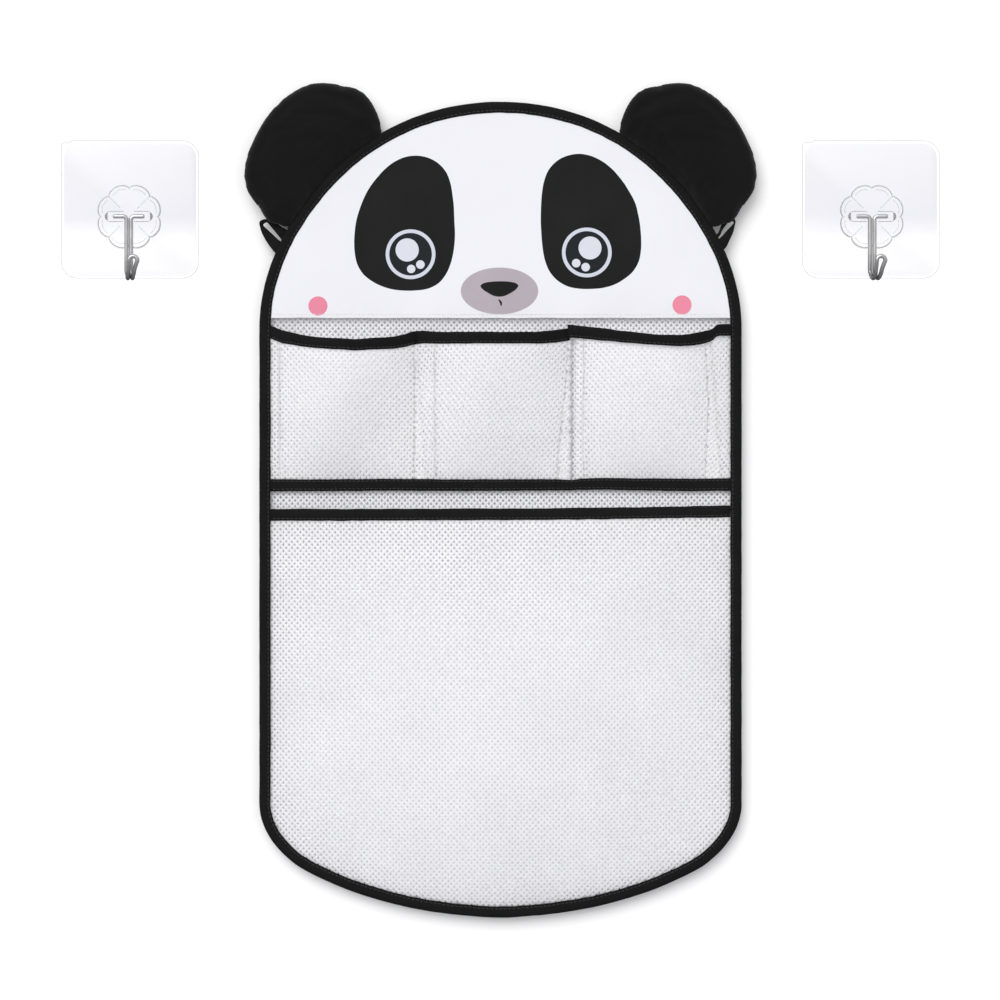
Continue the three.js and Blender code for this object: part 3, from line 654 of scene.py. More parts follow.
class Pocket:
    """The surface of one small pocket and the line of its mouth."""

    def __init__(self, k):
        self.k = k
        self.x0, self.x1 = SEAM_X[k], SEAM_X[k + 1]
        data = np.array(MOUTHS[k], float)
        self.line = []
        for px, top, low in data:
            y = -6.0
            for _ in range(4):
                p, q = at(px, top, y), at(px, low, y)
                u = (p[0] - self.x0) / (self.x1 - self.x0)
                y = SEAM_Y - DEPTH[k] * float(arch(np.clip(u, 0, 1), SOFT))
            self.line.append((p[0], p[2], q[2]))
        self.line = np.array(self.line)
        self.pleats = []
        for pleat in PLEATS[k]:
            z = [at(0, py, -14)[2] for py in PLEAT_Y]
            self.pleats.append((z[::-1], [at(a, 400, -14)[0] for a, _ in pleat][::-1], [at(b, 400, -14)[0] for _, b in pleat][::-1]))

    def slack(self, z):
        """Cloth taken up by the pleats at a height."""
        return sum(2 * (np.interp(z, h, b) - np.interp(z, h, a)) for h, a, b in self.pleats)

    def where(self, s, z):
        """The cloth's point s, z in the frame: it runs forward, back and forward again through each pleat."""
        x, lift = s.copy(), np.zeros_like(s)
        for h, a, b in self.pleats:
            a, b = np.interp(z, h, a), np.interp(z, h, b)
            w = b - a
            r = x
            x = np.where(r > b + w, r - 2 * w, np.where(r > b, 2 * b - r, r))
            lift = lift + np.interp((r - a) / w, [0, 0.15, 0.9, 1, 1.1, 1.9, 2, 2.1, 2.85, 3], [0, 0.68, 0.68, 0.36, 0, 0, -0.34, -0.68, -0.68, 0])
        # Under the tapes the pleats are pressed flat.
        calm = np.clip((self.top(x) - z - 8) / 10, 0.2, 1) * np.clip((z - FLOOR_Z) / 12, 0.2, 1)
        return np.column_stack([x, self.y(x, z) + lift * calm, z])

    def u(self, x):
        return np.clip((x - self.x0) / (self.x1 - self.x0), 0, 1)

    def top(self, x):
        return np.interp(x, self.line[:, 0], self.line[:, 1])

    def low(self, x):
        return np.interp(x, self.line[:, 0], self.line[:, 2])

    def y(self, x, z):
        u = self.u(x)
        t = (z - FLOOR_Z) / (self.top(x) - FLOOR_Z)
        slack = 0.9 * np.sin(x / 8.3 + self.k) * np.sin(math.pi * np.clip(t, 0, 1)) * np.sin(math.pi * u) ** 0.6
        slack = slack + 0.7 * np.sin(x / 15.0 + z / 31.0 + 2 * self.k) * np.clip(t, 0, 1) * np.sin(math.pi * u)
        # Where two pockets meet, the right one's edge lies over the left one's.
        tuck = 0.55 * np.clip(1 - (self.x1 - x) / 2.5, 0, 1) - TUCK[self.k] * np.clip(1 - (x - self.x0) / 2.5, 0, 1)
        return SEAM_Y - DEPTH[self.k] * arch(u, SOFT) * rise(t) + slack + tuck

    def weight(self, x):
        return np.sin(math.pi * self.u(x)) ** 0.75


pockets = [Pocket(k) for k in range(3)]

for k, side in enumerate(POCKETS):
    p = pockets[k]
    # The cloth runs a little past its seams: under the rim at the outer sides, under the floor tape below.
    left = p.x0 - (3, 2.5, -0.1)[k]
    right = p.x1 + (3 if k == 2 else 0.5)

    def keep(s, z):
        x = p.where(s.ravel(), z.ravel())[:, 0].reshape(s.shape)
        return (s > left) & (s < right + p.slack(z)) & (z > FLOOR_Z - 3.5) & (z < p.top(x) - 2.6)

    o, _ = net(f"{side}_pocket_net", (left - 2.1, right + 60, FLOOR_Z - 4, -70), keep, mapped(p.where), NET_SHEER, hole=(0.76, 0.95), seed=21 + k)
    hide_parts(f"{side}_pocket_mesh")
    set_blend(o, p.weight(points_of(o)[:, 0]))
    (right - left + p.slack(-110.0) + 10) / 1000

# Large pocket.
LARGE_TOP = [(268, 508.8, 520.6), (332, 508.8, 520.8), (430, 508.6, 520.4), (560, 508, 519.8), (640, 507.1, 518.8), (700, 506, 517.8), (733, 505.4, 517.2)]
LARGE_LINE = np.array([[at(px, a, -12)[0], at(px, a, -17)[2], at(px, b, -17)[2]] for px, a, b in LARGE_TOP])
large_half = HALF_W - BIND_W - 0.5


def large_top(x):
    return np.interp(x, LARGE_LINE[:, 0], LARGE_LINE[:, 1])


def large_low(x):
    return np.interp(x, LARGE_LINE[:, 0], LARGE_LINE[:, 2])


def large_t(x, z):
    f = floor_at(x, BIND_W + 0.5)
    return (z - f) / (large_top(x) - f)


def large_y(x, z):
    v = np.clip(x / large_half, -1, 1)
    t = large_t(x, z)
    c = np.clip(t, 0, 1)
    slack = 0.9 * np.sin(x / 19 + z / 90) * np.sin(math.pi * c) * (1 - v * v) + 0.5 * np.sin(x / 7.5 + 1) * c ** 3 * (1 - v * v)
    return SEAM_Y - LARGE_DEPTH * arch((v + 1) / 2) * belly(t) + slack


def large_weight(x, z):
    v = np.clip((x / large_half + 1) / 2, 0, 1)
    t = np.clip(large_t(x, z) / 0.16, 0, 1)
    return np.sin(math.pi * v) ** 0.75 * t * t * (3 - 2 * t)


o, flat = net("large_pocket_net", (-172, 170, -502, -200), lambda x, z: inside(x, z, 5.4) & (z < large_top(x) - 2.4), mapped(lambda x, z: np.column_stack([x, large_y(x, z), z])), NET_SHEER, seed=31)
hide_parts("large_pocket_mesh")
set_blend(o, large_weight(flat[:, 0], flat[:, 1]))

# ------------------------------------------------------------------ tapes


def lean_tape(name, xs, top, low, surface, weight, node, thick=2.3, ahead=0.0, seed=1):
    """Tape folded over a pocket's mouth: a round fold on top, two legs that lie on the net."""
    s = np.concatenate([[0], np.cumsum(np.abs(np.diff(xs)))])
    wave_t, wave_b = 0.3 * wobble(s, 11, seed), 0.3 * wobble(s, 9, seed + 5)
    swell = 0.12 * wobble(s, 5, seed + 9)
    rings = []
    for k, x in enumerate(xs):
        zt, zb = top(x) + wave_t[k], low(x) + wave_b[k]
        h = zt - zb
        g = 0.5
        o_ = thick / 2 + swell[k]
        section = [
            (-o_ + 0.15, -h), (-o_ - 0.1, -h * 0.93), (-o_ - 0.25, -h * 0.62), (-o_ - 0.2, -h * 0.3), (-o_, -0.85), (-o_ * 0.72, -0.3), (0, 0),
            (o_ * 0.72, -0.3), (o_, -0.85), (o_ + 0.1, -h * 0.5), (o_, -h * 0.9), (o_ - 0.15, -h * 0.97),
            (g, -h * 0.97), (g, -1.3), (-g, -1.3), (-g, -h * 0.98),
        ]
        ring = []
        for dy, dz in section:
            z = zt + dz
            y = float(surface(np.array([x]), np.array([min(z, zt - 1.3)]))[0])
            ring.append((x, y + dy - ahead, z))
        rings.append(ring)
    o = sweep(name, rings, TAPE, lengths=s)
    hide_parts(node)
    set_blend(o, weight(points_of(o)))
    # Stitches near the lower edge, through both legs.
    line, ups, w = [], [], []
    for k, x in enumerate(xs):
        zt, zb = top(x) + wave_t[k], low(x) + wave_b[k]
        z = zb + 1.5
        y = float(surface(np.array([x]), np.array([z]))[0])
        line.append((x, y - thick / 2 - 0.24 - ahead - swell[k], z))
        ups.append((0, -1, 0))
    st = stitches(name + "_stitches", line[1:-1], ups[1:-1], THREAD_BLACK)
    set_blend(st, weight(points_of(st)))
    return o


for k, side in enumerate(POCKETS):
    p = pockets[k]
    xs = np.arange(p.line[0, 0], p.line[-1, 0] + 0.01, 1.5)
    if k == 2:
        xs = np.unique(np.concatenate([xs, np.arange(150, 160, 0.6)]))
    lean_tape(f"{side}_mouth_tape", xs, p.top, p.low, p.y, lambda q, p=p: p.weight(q[:, 0]), f"{side}_pocket_tape", ahead=1.6 if k == 2 else 0.0, seed=3 + k)

lean_tape("large_mouth_tape", np.arange(-167.4, 167.5, 2.0), large_top, large_low, large_y, lambda q: large_weight(q[:, 0], np.minimum(q[:, 2], large_top(q[:, 0]))), "large_pocket_tape", seed=8)

# The flat tape over the small pockets' floor.
FLOOR_TAPE = [(268, 479, 491.4), (330, 479.4, 491.2), (395, 478.8, 490.6), (450, 479.4, 491), (520, 479.2, 490.8), (555, 479.2, 490.4), (573, 480, 490.4), (580, 478.6, 490), (605, 477.9, 489.8), (640, 478.4, 490.4), (690, 478.8, 491.2), (732, 478.1, 490.7)]
ft = np.array([[at(px, a, -6)[0], at(px, a, -6)[2], at(px, b, -6)[2]] for px, a, b in FLOOR_TAPE])
xs = np.arange(-167.4, 167.5, 1.8)
rings, line_a, line_b = [], [], []
for k, x in enumerate(xs):
    zt = np.interp(x, ft[:, 0], ft[:, 1]) + 0.25 * noise.noise((x / 9, 3.3, 0.1))
    zb = np.interp(x, ft[:, 0], ft[:, 2]) + 0.25 * noise.noise((x / 8, 8.3, 0.1))
    f = -5.5 + 0.15 * noise.noise((x / 6, 1.7, 0.4))
    h = zt - zb
    rings.append([(x, y, z) for y, z in [
        (f + 0.45, zb), (f + 0.1, zb + 0.35), (f - 0.05, zb + 0.3 * h), (f - 0.05, zb + 0.7 * h), (f + 0.1, zt - 0.35), (f + 0.45, zt),
        (-2.7, zt), (-2.4, zt - 0.4), (-2.4, zb + 0.4), (-2.7, zb),
    ]])
    line_a.append((x, f - 0.05, zb + 1.5))
    line_b.append((x, f - 0.05, zt - 1.5))
o = sweep("pocket_floor_tape_front", rings, TAPE)
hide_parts("pocket_floor_tape")
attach(o, "panel")
for tag, line in (("lower", line_a), ("upper", line_b)):
    st = stitches(f"pocket_floor_stitches_{tag}", line[1:-1], [(0, -1, 0)] * (len(line) - 2), THREAD_BLACK)
    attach(st, "panel")
# Its other half lies behind the back net and takes the same stitches.
rings = []
for x in xs:
    zt, zb = np.interp(x, ft[:, 0], ft[:, 1]), np.interp(x, ft[:, 0], ft[:, 2])
    rings.append([(x, y, z) for y, z in [(-0.45, zb), (-0.15, zb + 0.3), (-0.1, (zt + zb) / 2), (-0.15, zt - 0.3), (-0.45, zt), (-1.0, zt), (-1.0, zb)]])
o = sweep("pocket_floor_tape_back", rings, TAPE)
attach(o, "panel")

# Binding round the panel's edge.
n = len(EDGE)
s_edge = np.concatenate([[0], np.cumsum(np.linalg.norm(np.diff(np.vstack([EDGE, EDGE[:1]]), axis=0), axis=1))])
angle = 2 * math.pi * np.arange(n) / n
turn = lambda freq, seed: np.array([noise.noise((math.cos(a) * freq, math.sin(a) * freq, seed)) for a in angle])
w_in = 0.28 * turn(26, 1.2) + 0.18 * turn(60, 4.4)
w_back = 0.3 * turn(22, 7.7)
swell = 0.16 * turn(48, 9.1) + 0.1 * turn(110, 2.1)
w_out = 0.14 * turn(30, 5.5)
rings = []
for k in range(n):
    # The tape's own section: d inward from the edge, y in depth.
    wi, wb, sw, wo = BIND_W + 0.15 + w_in[k], BIND_W + w_back[k], swell[k], w_out[k]
    section = [
        (wi, -5.45), (wi - 0.1, -5.95), (wi - 1.4, -6.2 - sw * 0.3), (wi - 3.4, -6.42 - sw), (3.0, -6.45 - sw), (1.5, -6.15), (0.55, -5.4), (0.1 + wo, -4.2),
        (0.05 + wo, -2.6), (0.4, -1.2), (1.3, -0.35), (2.8, -0.1), (wb - 2.5, -0.08), (wb - 0.1, -0.3), (wb, -0.8),
        (wb - 0.5, -0.95), (3.0, -0.95), (3.0, -5.45),
    ]
    rings.append([(EDGE[k, 0] - EDGE_N[k, 0] * d, y, EDGE[k, 1] - EDGE_N[k, 1] * d) for d, y in section])
o = sweep("rim_binding_tape", rings, TAPE, closed=True, lengths=s_edge)
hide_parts("rim_binding")
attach(o, "panel")
d = 6.7
line = [(EDGE[k, 0] - EDGE_N[k, 0] * (d + w_in[k]), -6.22 - 0.3 * swell[k], EDGE[k, 1] - EDGE_N[k, 1] * (d + w_in[k])) for k in range(n)]
st = stitches("rim_stitches_front", line, [(0, -1, 0)] * n, THREAD_BLACK, closed=True)
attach(st, "panel")
line = [(p[0], -0.08, p[2]) for p in line]
st = stitches("rim_stitches_back", line, [(0, 1, 0)] * n, THREAD_BLACK, closed=True, radius=0.2)
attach(st, "panel")

# ------------------------------------------------------------------ the printed head


def circle(px, py, r, count=48, ry=None):
    a = np.linspace(0, 2 * math.pi, count, endpoint=False)
    return [tuple(at(px + r * math.cos(t), py - (ry or r) * math.sin(t))[[0, 2]]) for t in a]


def shape(points, step=1.5):
    loop = catmull([at(px, py)[[0, 2]] for px, py in points], step, closed=True)
    x, z = loop[:, 0], loop[:, 1]
    if np.sum(x * np.roll(z, -1) - np.roll(x, -1) * z) < 0:  # a face's inside is on its edges' left
        loop = loop[::-1]
    return [tuple(p) for p in loop]


PATCH_L = [
    (454.5, 223.5), (454.2, 214.7), (453.8, 205.6), (452.6, 195.7), (450.8, 184.6), (446.6, 173), (438.8, 163.8), (428.4, 157.9), (416.5, 155.7), (404.6, 157.3), (393.8, 162.3), (384.9, 169.2),
    (377.8, 176.9), (371.8, 184.4), (367, 192), (363.3, 199.7), (360.3, 207.4), (357.7, 215.2), (355.8, 223.5), (354.7, 232.4), (354.2, 241.8), (354.7, 252.4), (357, 263.5), (362.6, 273.4),
    (371.4, 280.9), (381.7, 286.2), (392.9, 289.5), (404.5, 290.7), (416.3, 290.5), (428.3, 288.6), (438.9, 283), (446.4, 273.6), (451, 262.6), (453.5, 251.8), (454.7, 241.7), (455, 232.4),
]
PATCH_R = [
    (636, 205.3), (632.7, 197.7), (628.5, 190.4), (623.8, 183), (618, 175.5), (611, 168.1), (602.1, 161.3), (591.4, 156.1), (579.6, 153.9), (567.5, 155.7), (556.8, 161.1), (548.5, 170.2),
    (544, 181.5), (542, 192.8), (541.2, 203), (540.8, 212.4), (540.7, 221.5), (541.1, 230.4), (541.7, 239.6), (542.8, 249.7), (545, 260.6), (549.5, 271.5), (557.5, 280.6), (567.9, 286.5),
    (579.6, 288.8), (591.5, 289), (603.2, 287.9), (614.2, 284.7), (624, 279.2), (632.8, 271.7), (638.6, 261.8), (640.9, 250.6), (641.2, 240), (640.6, 230.6), (639.6, 221.8), (637.9, 213.4),
]
NOSE = [(480.4, 286), (483.5, 283.3), (490, 281.9), (499, 281.3), (508, 281.6), (515, 282.9), (518.4, 285.6), (515.5, 289.8), (510, 293.4), (504.5, 296), (499, 296.7), (493.5, 295.8), (487.5, 292.6), (483, 289.6)]
MOUTH = [(498.2, 299.4), (500, 300), (501.8, 302), (501.9, 304.5), (500.9, 306.3), (500.2, 304), (499.2, 301.6)]

face_loops = []  # (points, material number)
ring = inset(3.6)
ring = ring[ring[:, 1] >= FACE_BOTTOM]
order = np.argsort(np.arctan2(ring[:, 1] - HEAD_Z, ring[:, 0]))
ring = ring[order]  # right, over the top, to the left
half = HALF_W - 3.6
bottom = [(x, FACE_BOTTOM + 0.25 * noise.noise((x / 22, 0.4, 9.0))) for x in np.linspace(-half, half, 140)]
face_edge = [tuple(p) for p in ring if p[1] > FACE_BOTTOM + 1.2] + bottom
face_loops.append((face_edge, 0))
for patch, (ex, ey), hi in (
    (PATCH_L, (410.6, 254.3), [(407.2, 250, 11.6), (420.4, 264.6, 4.3), (411.2, 269, 4.2)]),
    (PATCH_R, (586.8, 252.5), [(590, 248, 11.5), (576.2, 263.2, 4.3), (585.6, 267.2, 4.3)]),
):
    face_loops.append((shape(patch), 1))
    face_loops.append((circle(ex, ey, 24.9, 72), 6))
    face_loops.append((circle(ex, ey, 21.3, 72), 2))
    for hx, hy, r in hi:
        face_loops.append((circle(hx, hy, r, 40), 3))
face_loops.append((circle(499.5, 291.0, 38.7, 80, 23.4), 4))
face_loops.append((shape(NOSE, 1.0), 1))
face_loops.append((shape(MOUTH, 0.5), 1))
for cx, cy in ((318, 306), (682, 305)):
    face_loops.append((circle(cx, cy, 9.6, 40), 5))

points, loops = [], []
for loop, _ in face_loops:
    loops.append(list(range(len(points), len(points) + len(loop))))
    points += loop
taken = np.array(points)
for gz in np.arange(FACE_BOTTOM + 3, 86, 3.6):
    for gx in np.arange(-170, 171, 3.6):
        q = np.array((gx + (1.8 if int(round(gz / 3.6)) % 2 else 0), gz))
        if inside(q[:1], q[1:], 5.6).all() and np.min(np.hypot(*(taken - q).T)) > 1.5:
            points.append(tuple(q))
v2, _, f2, _, _, owners = delaunay_2d_cdt([Vector(p) for p in points], [], loops, 1, 1e-4)
v2 = np.array([tuple(p) for p in v2])
tri, number = [], []
for f, own in zip(f2, owners):
    if not own:
        continue
    a, b, c = (v2[i] for i in f[:3])
    if abs((b[0] - a[0]) * (c[1] - a[1]) - (b[1] - a[1]) * (c[0] - a[0])) < 1e-7:
        continue
    tri.append(tuple(f))
    number.append(face_loops[max(own)][1])
bulge = 0.5 * wobble2(v2[:, 0], v2[:, 1], 75, 2.0) + 0.12 * wobble2(v2[:, 0], v2[:, 1], 21, 5.0)
nv = len(v2)
front = np.column_stack([v2[:, 0], -5.45 - 0.25 * (bulge + 0.6), v2[:, 1]])
back = np.column_stack([v2[:, 0], np.full(nv, -4.75), v2[:, 1]])
edges = {}
for f in tri:
    for a, b in zip(f, f[1:] + f[:1]):
        edges[(a, b)] = edges.get((a, b), 0) + 1
rimmed = [(a, b) for (a, b) in edges if (b, a) not in edges]
faces = list(tri) + [tuple(i + nv for i in reversed(f)) for f in tri] + [(b, a, a + nv, b + nv) for a, b in rimmed]
slots = number + [0] * len(tri) + [0] * len(rimmed)
o = make("face_print", np.vstack([front, back]), faces, [FACE, PRINT_BLACK, PRINT_EYE, PRINT_SHINE, PRINT_MUZZLE, PRINT_CHEEK, PRINT_RING], slots=slots, sharp=60, outward=True)
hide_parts("face_panel")
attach(o, "panel")
line = [(x, -5.62, FACE_BOTTOM + 2.6) for x in np.arange(-165, 165.1, 3)]
st = stitches("face_hem_stitches", line, [(0, -1, 0)] * len(line), THREAD_WHITE, radius=0.2)
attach(st, "panel")

# ------------------------------------------------------------------ ears

EAR_PX = [
    (381.4, 131.7), (379.6, 121), (376.7, 111.6), (370.8, 100.4), (359.5, 90.2), (350.7, 87.4), (338.9, 85.9), (331.8, 83.9), (322.4, 83), (311.7, 84.2),
    (301.1, 87.8), (287, 96.8), (275.1, 108), (263.3, 122.2), (255.1, 137.6), (248, 155.3), (244.7, 169.5), (245, 178.9),
    (247.4, 190.7), (252.7, 199), (259.4, 205.3), (262.4, 213), (264.5, 219.8), (276.3, 223.6), (287, 225.8), (291.4, 226.6),
]


EAR_CENTRE = np.array((-138.0, 55.0))


def ear_outline():
    edge = catmull([at(px, py, -7.5)[[0, 2]] for px, py in EAR_PX], 2.6)
    for _ in range(7):
        edge[1:-1] = 0.25 * edge[:-2] + 0.5 * edge[1:-1] + 0.25 * edge[2:]
    t = unit(np.gradient(edge, axis=0))
    edge = edge + 0.95 * np.column_stack([-t[:, 1], t[:, 0]]) * np.sign(np.sum((edge - EAR_CENTRE) * np.column_stack([-t[:, 1], t[:, 0]]), axis=1))[:, None]
    root = head_line(np.radians(np.linspace(152.2, 119.4, 36)), 2.2)  # the root is caught in the rim's fold
    return edge, root


def ear_rest():
    """Two flat cloths sewn round the edge, a little apart, as points and triangles. Returns also the seam's points."""
    edge, root = ear_outline()
    loop = np.vstack([edge, root[1:-1]])
    pts = [tuple(p) for p in loop]
    n_loop = len(pts)
    lo, hi = loop.min(0), loop.max(0)
    for gz in np.arange(lo[1], hi[1], 2.7):
        for gx in np.arange(lo[0], hi[0], 3.1):
            q = np.array((gx + (1.55 if int(round(gz / 2.7)) % 2 else 0), gz))
            if np.min(np.hypot(*(loop - q).T)) > 1.7:
                pts.append(tuple(q))
    v, _, f, ov, _, own = delaunay_2d_cdt([Vector(p) for p in pts], [], [list(range(n_loop))], 1, 1e-4)
    v = np.array([tuple(p) for p in v])
    f = [tuple(t) for t, o_ in zip(f, own) if o_]
    used = sorted({i for t in f for i in t})
    number = {i: k for k, i in enumerate(used)}
    v, f = v[used], [tuple(number[i] for i in t) for t in f]
    far = np.array([np.min(np.hypot(*(loop - p).T)) for p in v])
    seam = far < 1e-3
    near_root = np.array([np.min(np.hypot(*(root - p).T)) for p in v])
    return v, f, far, seam, near_root


def ear_middle(p, near_root):
    """Depth of the ear's middle sheet: in the rim's fold at the root, further forward 20 mm out."""
    out = np.clip(near_root / 20, 0, 1)
    return -3.4 - 4.1 * out * out * (3 - 2 * out)


def ear_mesh():
    v, f, far, seam, near_root = ear_rest()
    n_ = len(v)
    edge, root = ear_outline()
    loop = np.vstack([edge, root[1:-1]])
    # How far each point is from the middle, as a share of the way to the edge.
    turn_ = lambda q: np.arctan2(q[:, 1] - EAR_CENTRE[1], q[:, 0] - EAR_CENTRE[0])
    la, lr = turn_(loop), np.hypot(*(loop - EAR_CENTRE).T)
    order_ = np.argsort(la)
    share = np.hypot(*(v - EAR_CENTRE).T) / np.interp(turn_(v), la[order_], lr[order_], period=2 * math.pi)
    mid = ear_middle(v, near_root)
    stuffed = np.interp(share, [0, 0.35, 0.66, 0.88, 0.955, 1], [1, 0.98, 0.87, 0.60, 0.36, 0])
    stuffed[seam] = 0
    verts = [(x, m_ - 8.0 * s_, z) for (x, z), m_, s_ in zip(v, mid, stuffed)]
    other = {}
    for i in range(n_):
        if seam[i]:
            other[i] = i
        else:
            other[i] = len(verts)
            verts.append((v[i, 0], min(mid[i] + 5.4 * stuffed[i], -0.6), v[i, 1]))
    faces = list(f) + [tuple(other[i] for i in reversed(t)) for t in f]
    faces = [t for t in faces if len(set(t)) == 3]
    return np.array(verts), faces, [i for i in range(n_) if seam[i]], n_


def inflate(o, pinned):
    """Fills the cover: the seam is held, the cloth has a little slack, and pressure rounds it."""
    group = o.vertex_groups.new(name="seam")
    group.add(pinned, 1.0, "REPLACE")
    mod = o.modifiers.new("cloth", "CLOTH")
    c = mod.settings
    c.quality = 12
    c.mass = 0.0006
    c.air_damping = 4
    c.tension_stiffness = c.compression_stiffness = 12
    c.tension_damping = c.compression_damping = 6
    c.shear_stiffness = 5
    c.bending_stiffness = 0.02
    c.vertex_group_mass = "seam"
    c.pin_stiffness = 1.0
    c.use_pressure = True
    c.uniform_pressure_force = 14
    c.shrink_min = -0.022
    c.effector_weights.gravity = 0
    mod.collision_settings.use_collision = False
    mod.point_cache.frame_start, mod.point_cache.frame_end = 1, 24
    for f in range(1, 25):
        scene.frame_set(f)
    dg = bpy.context.evaluated_depsgraph_get()
    done = o.evaluated_get(dg).to_mesh()
    co = np.zeros(len(done.vertices) * 3, np.float32)
    done.vertices.foreach_get("co", co)
    o.evaluated_get(dg).to_mesh_clear()
    o.modifiers.remove(mod)
    o.vertex_groups.clear()
    scene.frame_set(1)
    o.data.vertices.foreach_set("co", co)
    o.data.update()


verts, faces, seam_ids, n_front = ear_mesh()
left = make("left_ear_cover", verts, faces, [EAR], outward=True)
inflate(left, seam_ids)
ear_points = points_of(left)
moved = np.linalg.norm(ear_points - verts, axis=1)
print("ear cover: moved by up to", round(float(moved.max()), 2), "mm; depth", ear_points[:, 1].min().round(2), ear_points[:, 1].max().round(2))
# The cover stays outside its stuffing and off the wall.
root_line = ear_outline()[1]
near = np.array([np.min(np.hypot(*(root_line - p).T)) for p in ear_points[:, [0, 2]]])
mid = ear_middle(ear_points, near)
rest_lift = verts[:, 1] - mid
lift = ear_points[:, 1] - mid
lift = np.where(rest_lift < 0, np.clip(lift, np.minimum(rest_lift * 1.35, -0.2), rest_lift * 0.93), np.clip(lift, rest_lift * 0.93, np.maximum(rest_lift * 1.2, 0.2)))
ear_points[:, 1] = np.minimum(mid + lift, -0.6)
left.data.vertices.foreach_set("co", (ear_points / 1000).astype(np.float32).ravel())
left.data.update()

right_points = ear_points.copy()
right_points[:, 0] *= -1
right_points[:, 1] += 0.5 * wobble2(ear_points[:, 0], ear_points[:, 2], 26, 3.0) * np.clip(np.abs(ear_points[:, 1] - mid) / 4, 0, 1)
right = make("right_ear_cover", right_points, [tuple(reversed(t)) for t in faces], [EAR], outward=True)

for side, o in (("left", left), ("right", right)):
    p = points_of(o)
    # The stuffing fills the cover to a little way under the cloth.
    sign = 1 if side == "left" else -1
    heart = np.array((sign * EAR_CENTRE[0], EAR_CENTRE[1]))
    inner = p.copy()
    reach = np.hypot(*(p[:, [0, 2]] - heart).T)
    inner[:, [0, 2]] = heart + (p[:, [0, 2]] - heart) * np.clip(1 - 3.2 / np.maximum(reach, 4), 0.3, 1)[:, None]
    side_root = root_line * (sign, 1)
    away, away_in = (np.array([np.min(np.hypot(*(side_root - q).T)) for q in c[:, [0, 2]]]) for c in (p, inner))
    inner[:, 1] = ear_middle(inner, away_in) + (p[:, 1] - mid) * np.interp(away_in, [2, 14], [0.35, 0.66])
    filling = make(f"{side}_ear_filling", inner, [tuple(f.vertices) for f in o.data.polygons], [WADDING], outward=True)
    t, t_in = np.clip((away - 1.0) / 15.0, 0, 1), np.clip((away_in - 1.0) / 15.0, 0, 1)
    sub = o.modifiers.new("round", "SUBSURF")
    sub.levels = sub.render_levels = 1
    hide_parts(f"{side}_ear_front", f"{side}_ear_back")
    set_blend(o, t * t * (3 - 2 * t))
    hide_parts(f"{side}_ear_wadding")
    set_blend(filling, t_in * t_in * (3 - 2 * t_in))

# ------------------------------------------------------------------ hanging loops

# Each loop's tape from the rim by the ear, over its fold and back to the rim: its inner and outer edge as they show in the picture.
LOOPS = {
    "left": [
        ((286.4, 244.4), (289.8, 231.6)), ((283, 241.2), (286.2, 229.4)), ((278.6, 235.9), (281.8, 226.9)), ((273.8, 230.1), (277.5, 223.6)), ((269.6, 225), (272.8, 220.6)),
        ((267.3, 222.6), (268.6, 218.8)), ((265.6, 222.8), (264.6, 219.2)), ((264.2, 223.7), (261.2, 220.3)), ((263.3, 225), (259.4, 222.9)),
        ((264.8, 227), (260.2, 227.8)), ((268.8, 230.7), (261.9, 233)), ((273.6, 235.2), (264.8, 238.6)), ((278, 239.3), (268.9, 245.1)), ((281.4, 242.3), (274.2, 251.9)),
        ((284.6, 245.2), (277.8, 255.4)),
    ],
    "right": [
        ((716.6, 239), (713.8, 236.2)), ((720.4, 234.8), (717.9, 233)), ((722, 230.9), (719.7, 229.1)), ((724.2, 227.4), (721.4, 225)), ((726.8, 224.1), (724.6, 220.6)),
        ((729.4, 222.2), (728, 218.2)), ((731.6, 221.3), (731.4, 217.6)), ((733.2, 221.7), (734.4, 218.6)), ((733.7, 222.8), (735.4, 222)),
        ((732.4, 224.6), (734.7, 226)), ((729.4, 227.9), (733.5, 231)), ((726.2, 231.3), (731.6, 236)), ((723.4, 234.5), (729.2, 241)), ((721.4, 236.7), (726, 247.4)),
        ((717.6, 240), (721.6, 251)),
    ],
}
for side, stations in LOOPS.items():
    pairs = np.array([np.concatenate([at(*a, -3.0)[[0, 2]], at(*b, -3.0)[[0, 2]]]) for a, b in stations])
    count = 10 * (len(pairs) - 1) + 1
    fine = np.linspace(0, len(pairs) - 1, count)
    rings = []
    for k, f in enumerate(fine):
        i = min(int(f), len(pairs) - 2)
        p0, p1, p2, p3 = (pairs[min(max(i + s, 0), len(pairs) - 1)] for s in (-1, 0, 1, 2))
        t = f - i
        e = 0.5 * ((2 * p1) + (p2 - p0) * t + (2 * p0 - 5 * p1 + 4 * p2 - p3) * t * t + (3 * p1 - p0 - 3 * p2 + p3) * t ** 3)
        a, b = e[:2], e[2:]
        y = -2.3 - 2.0 * k / (count - 1) + 0.12 * noise.noise((k / 14, 2.2, 0.0))
        ring_ = []
        for c, d_ in [(0, -0.5), (0.06, -1), (0.5, -1.15), (0.94, -1), (1, -0.5), (1, 0.5), (0.94, 1), (0.06, 1), (0, 0.5)]:
            q = a + (b - a) * c
            ring_.append((q[0], y + d_ * 0.5, q[1]))
        rings.append(ring_)
    o = sweep(f"{side}_loop_tape", rings, TAPE)
    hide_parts(f"{side}_hanging_loop")
    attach(o, "panel")

# ------------------------------------------------------------------ hooks


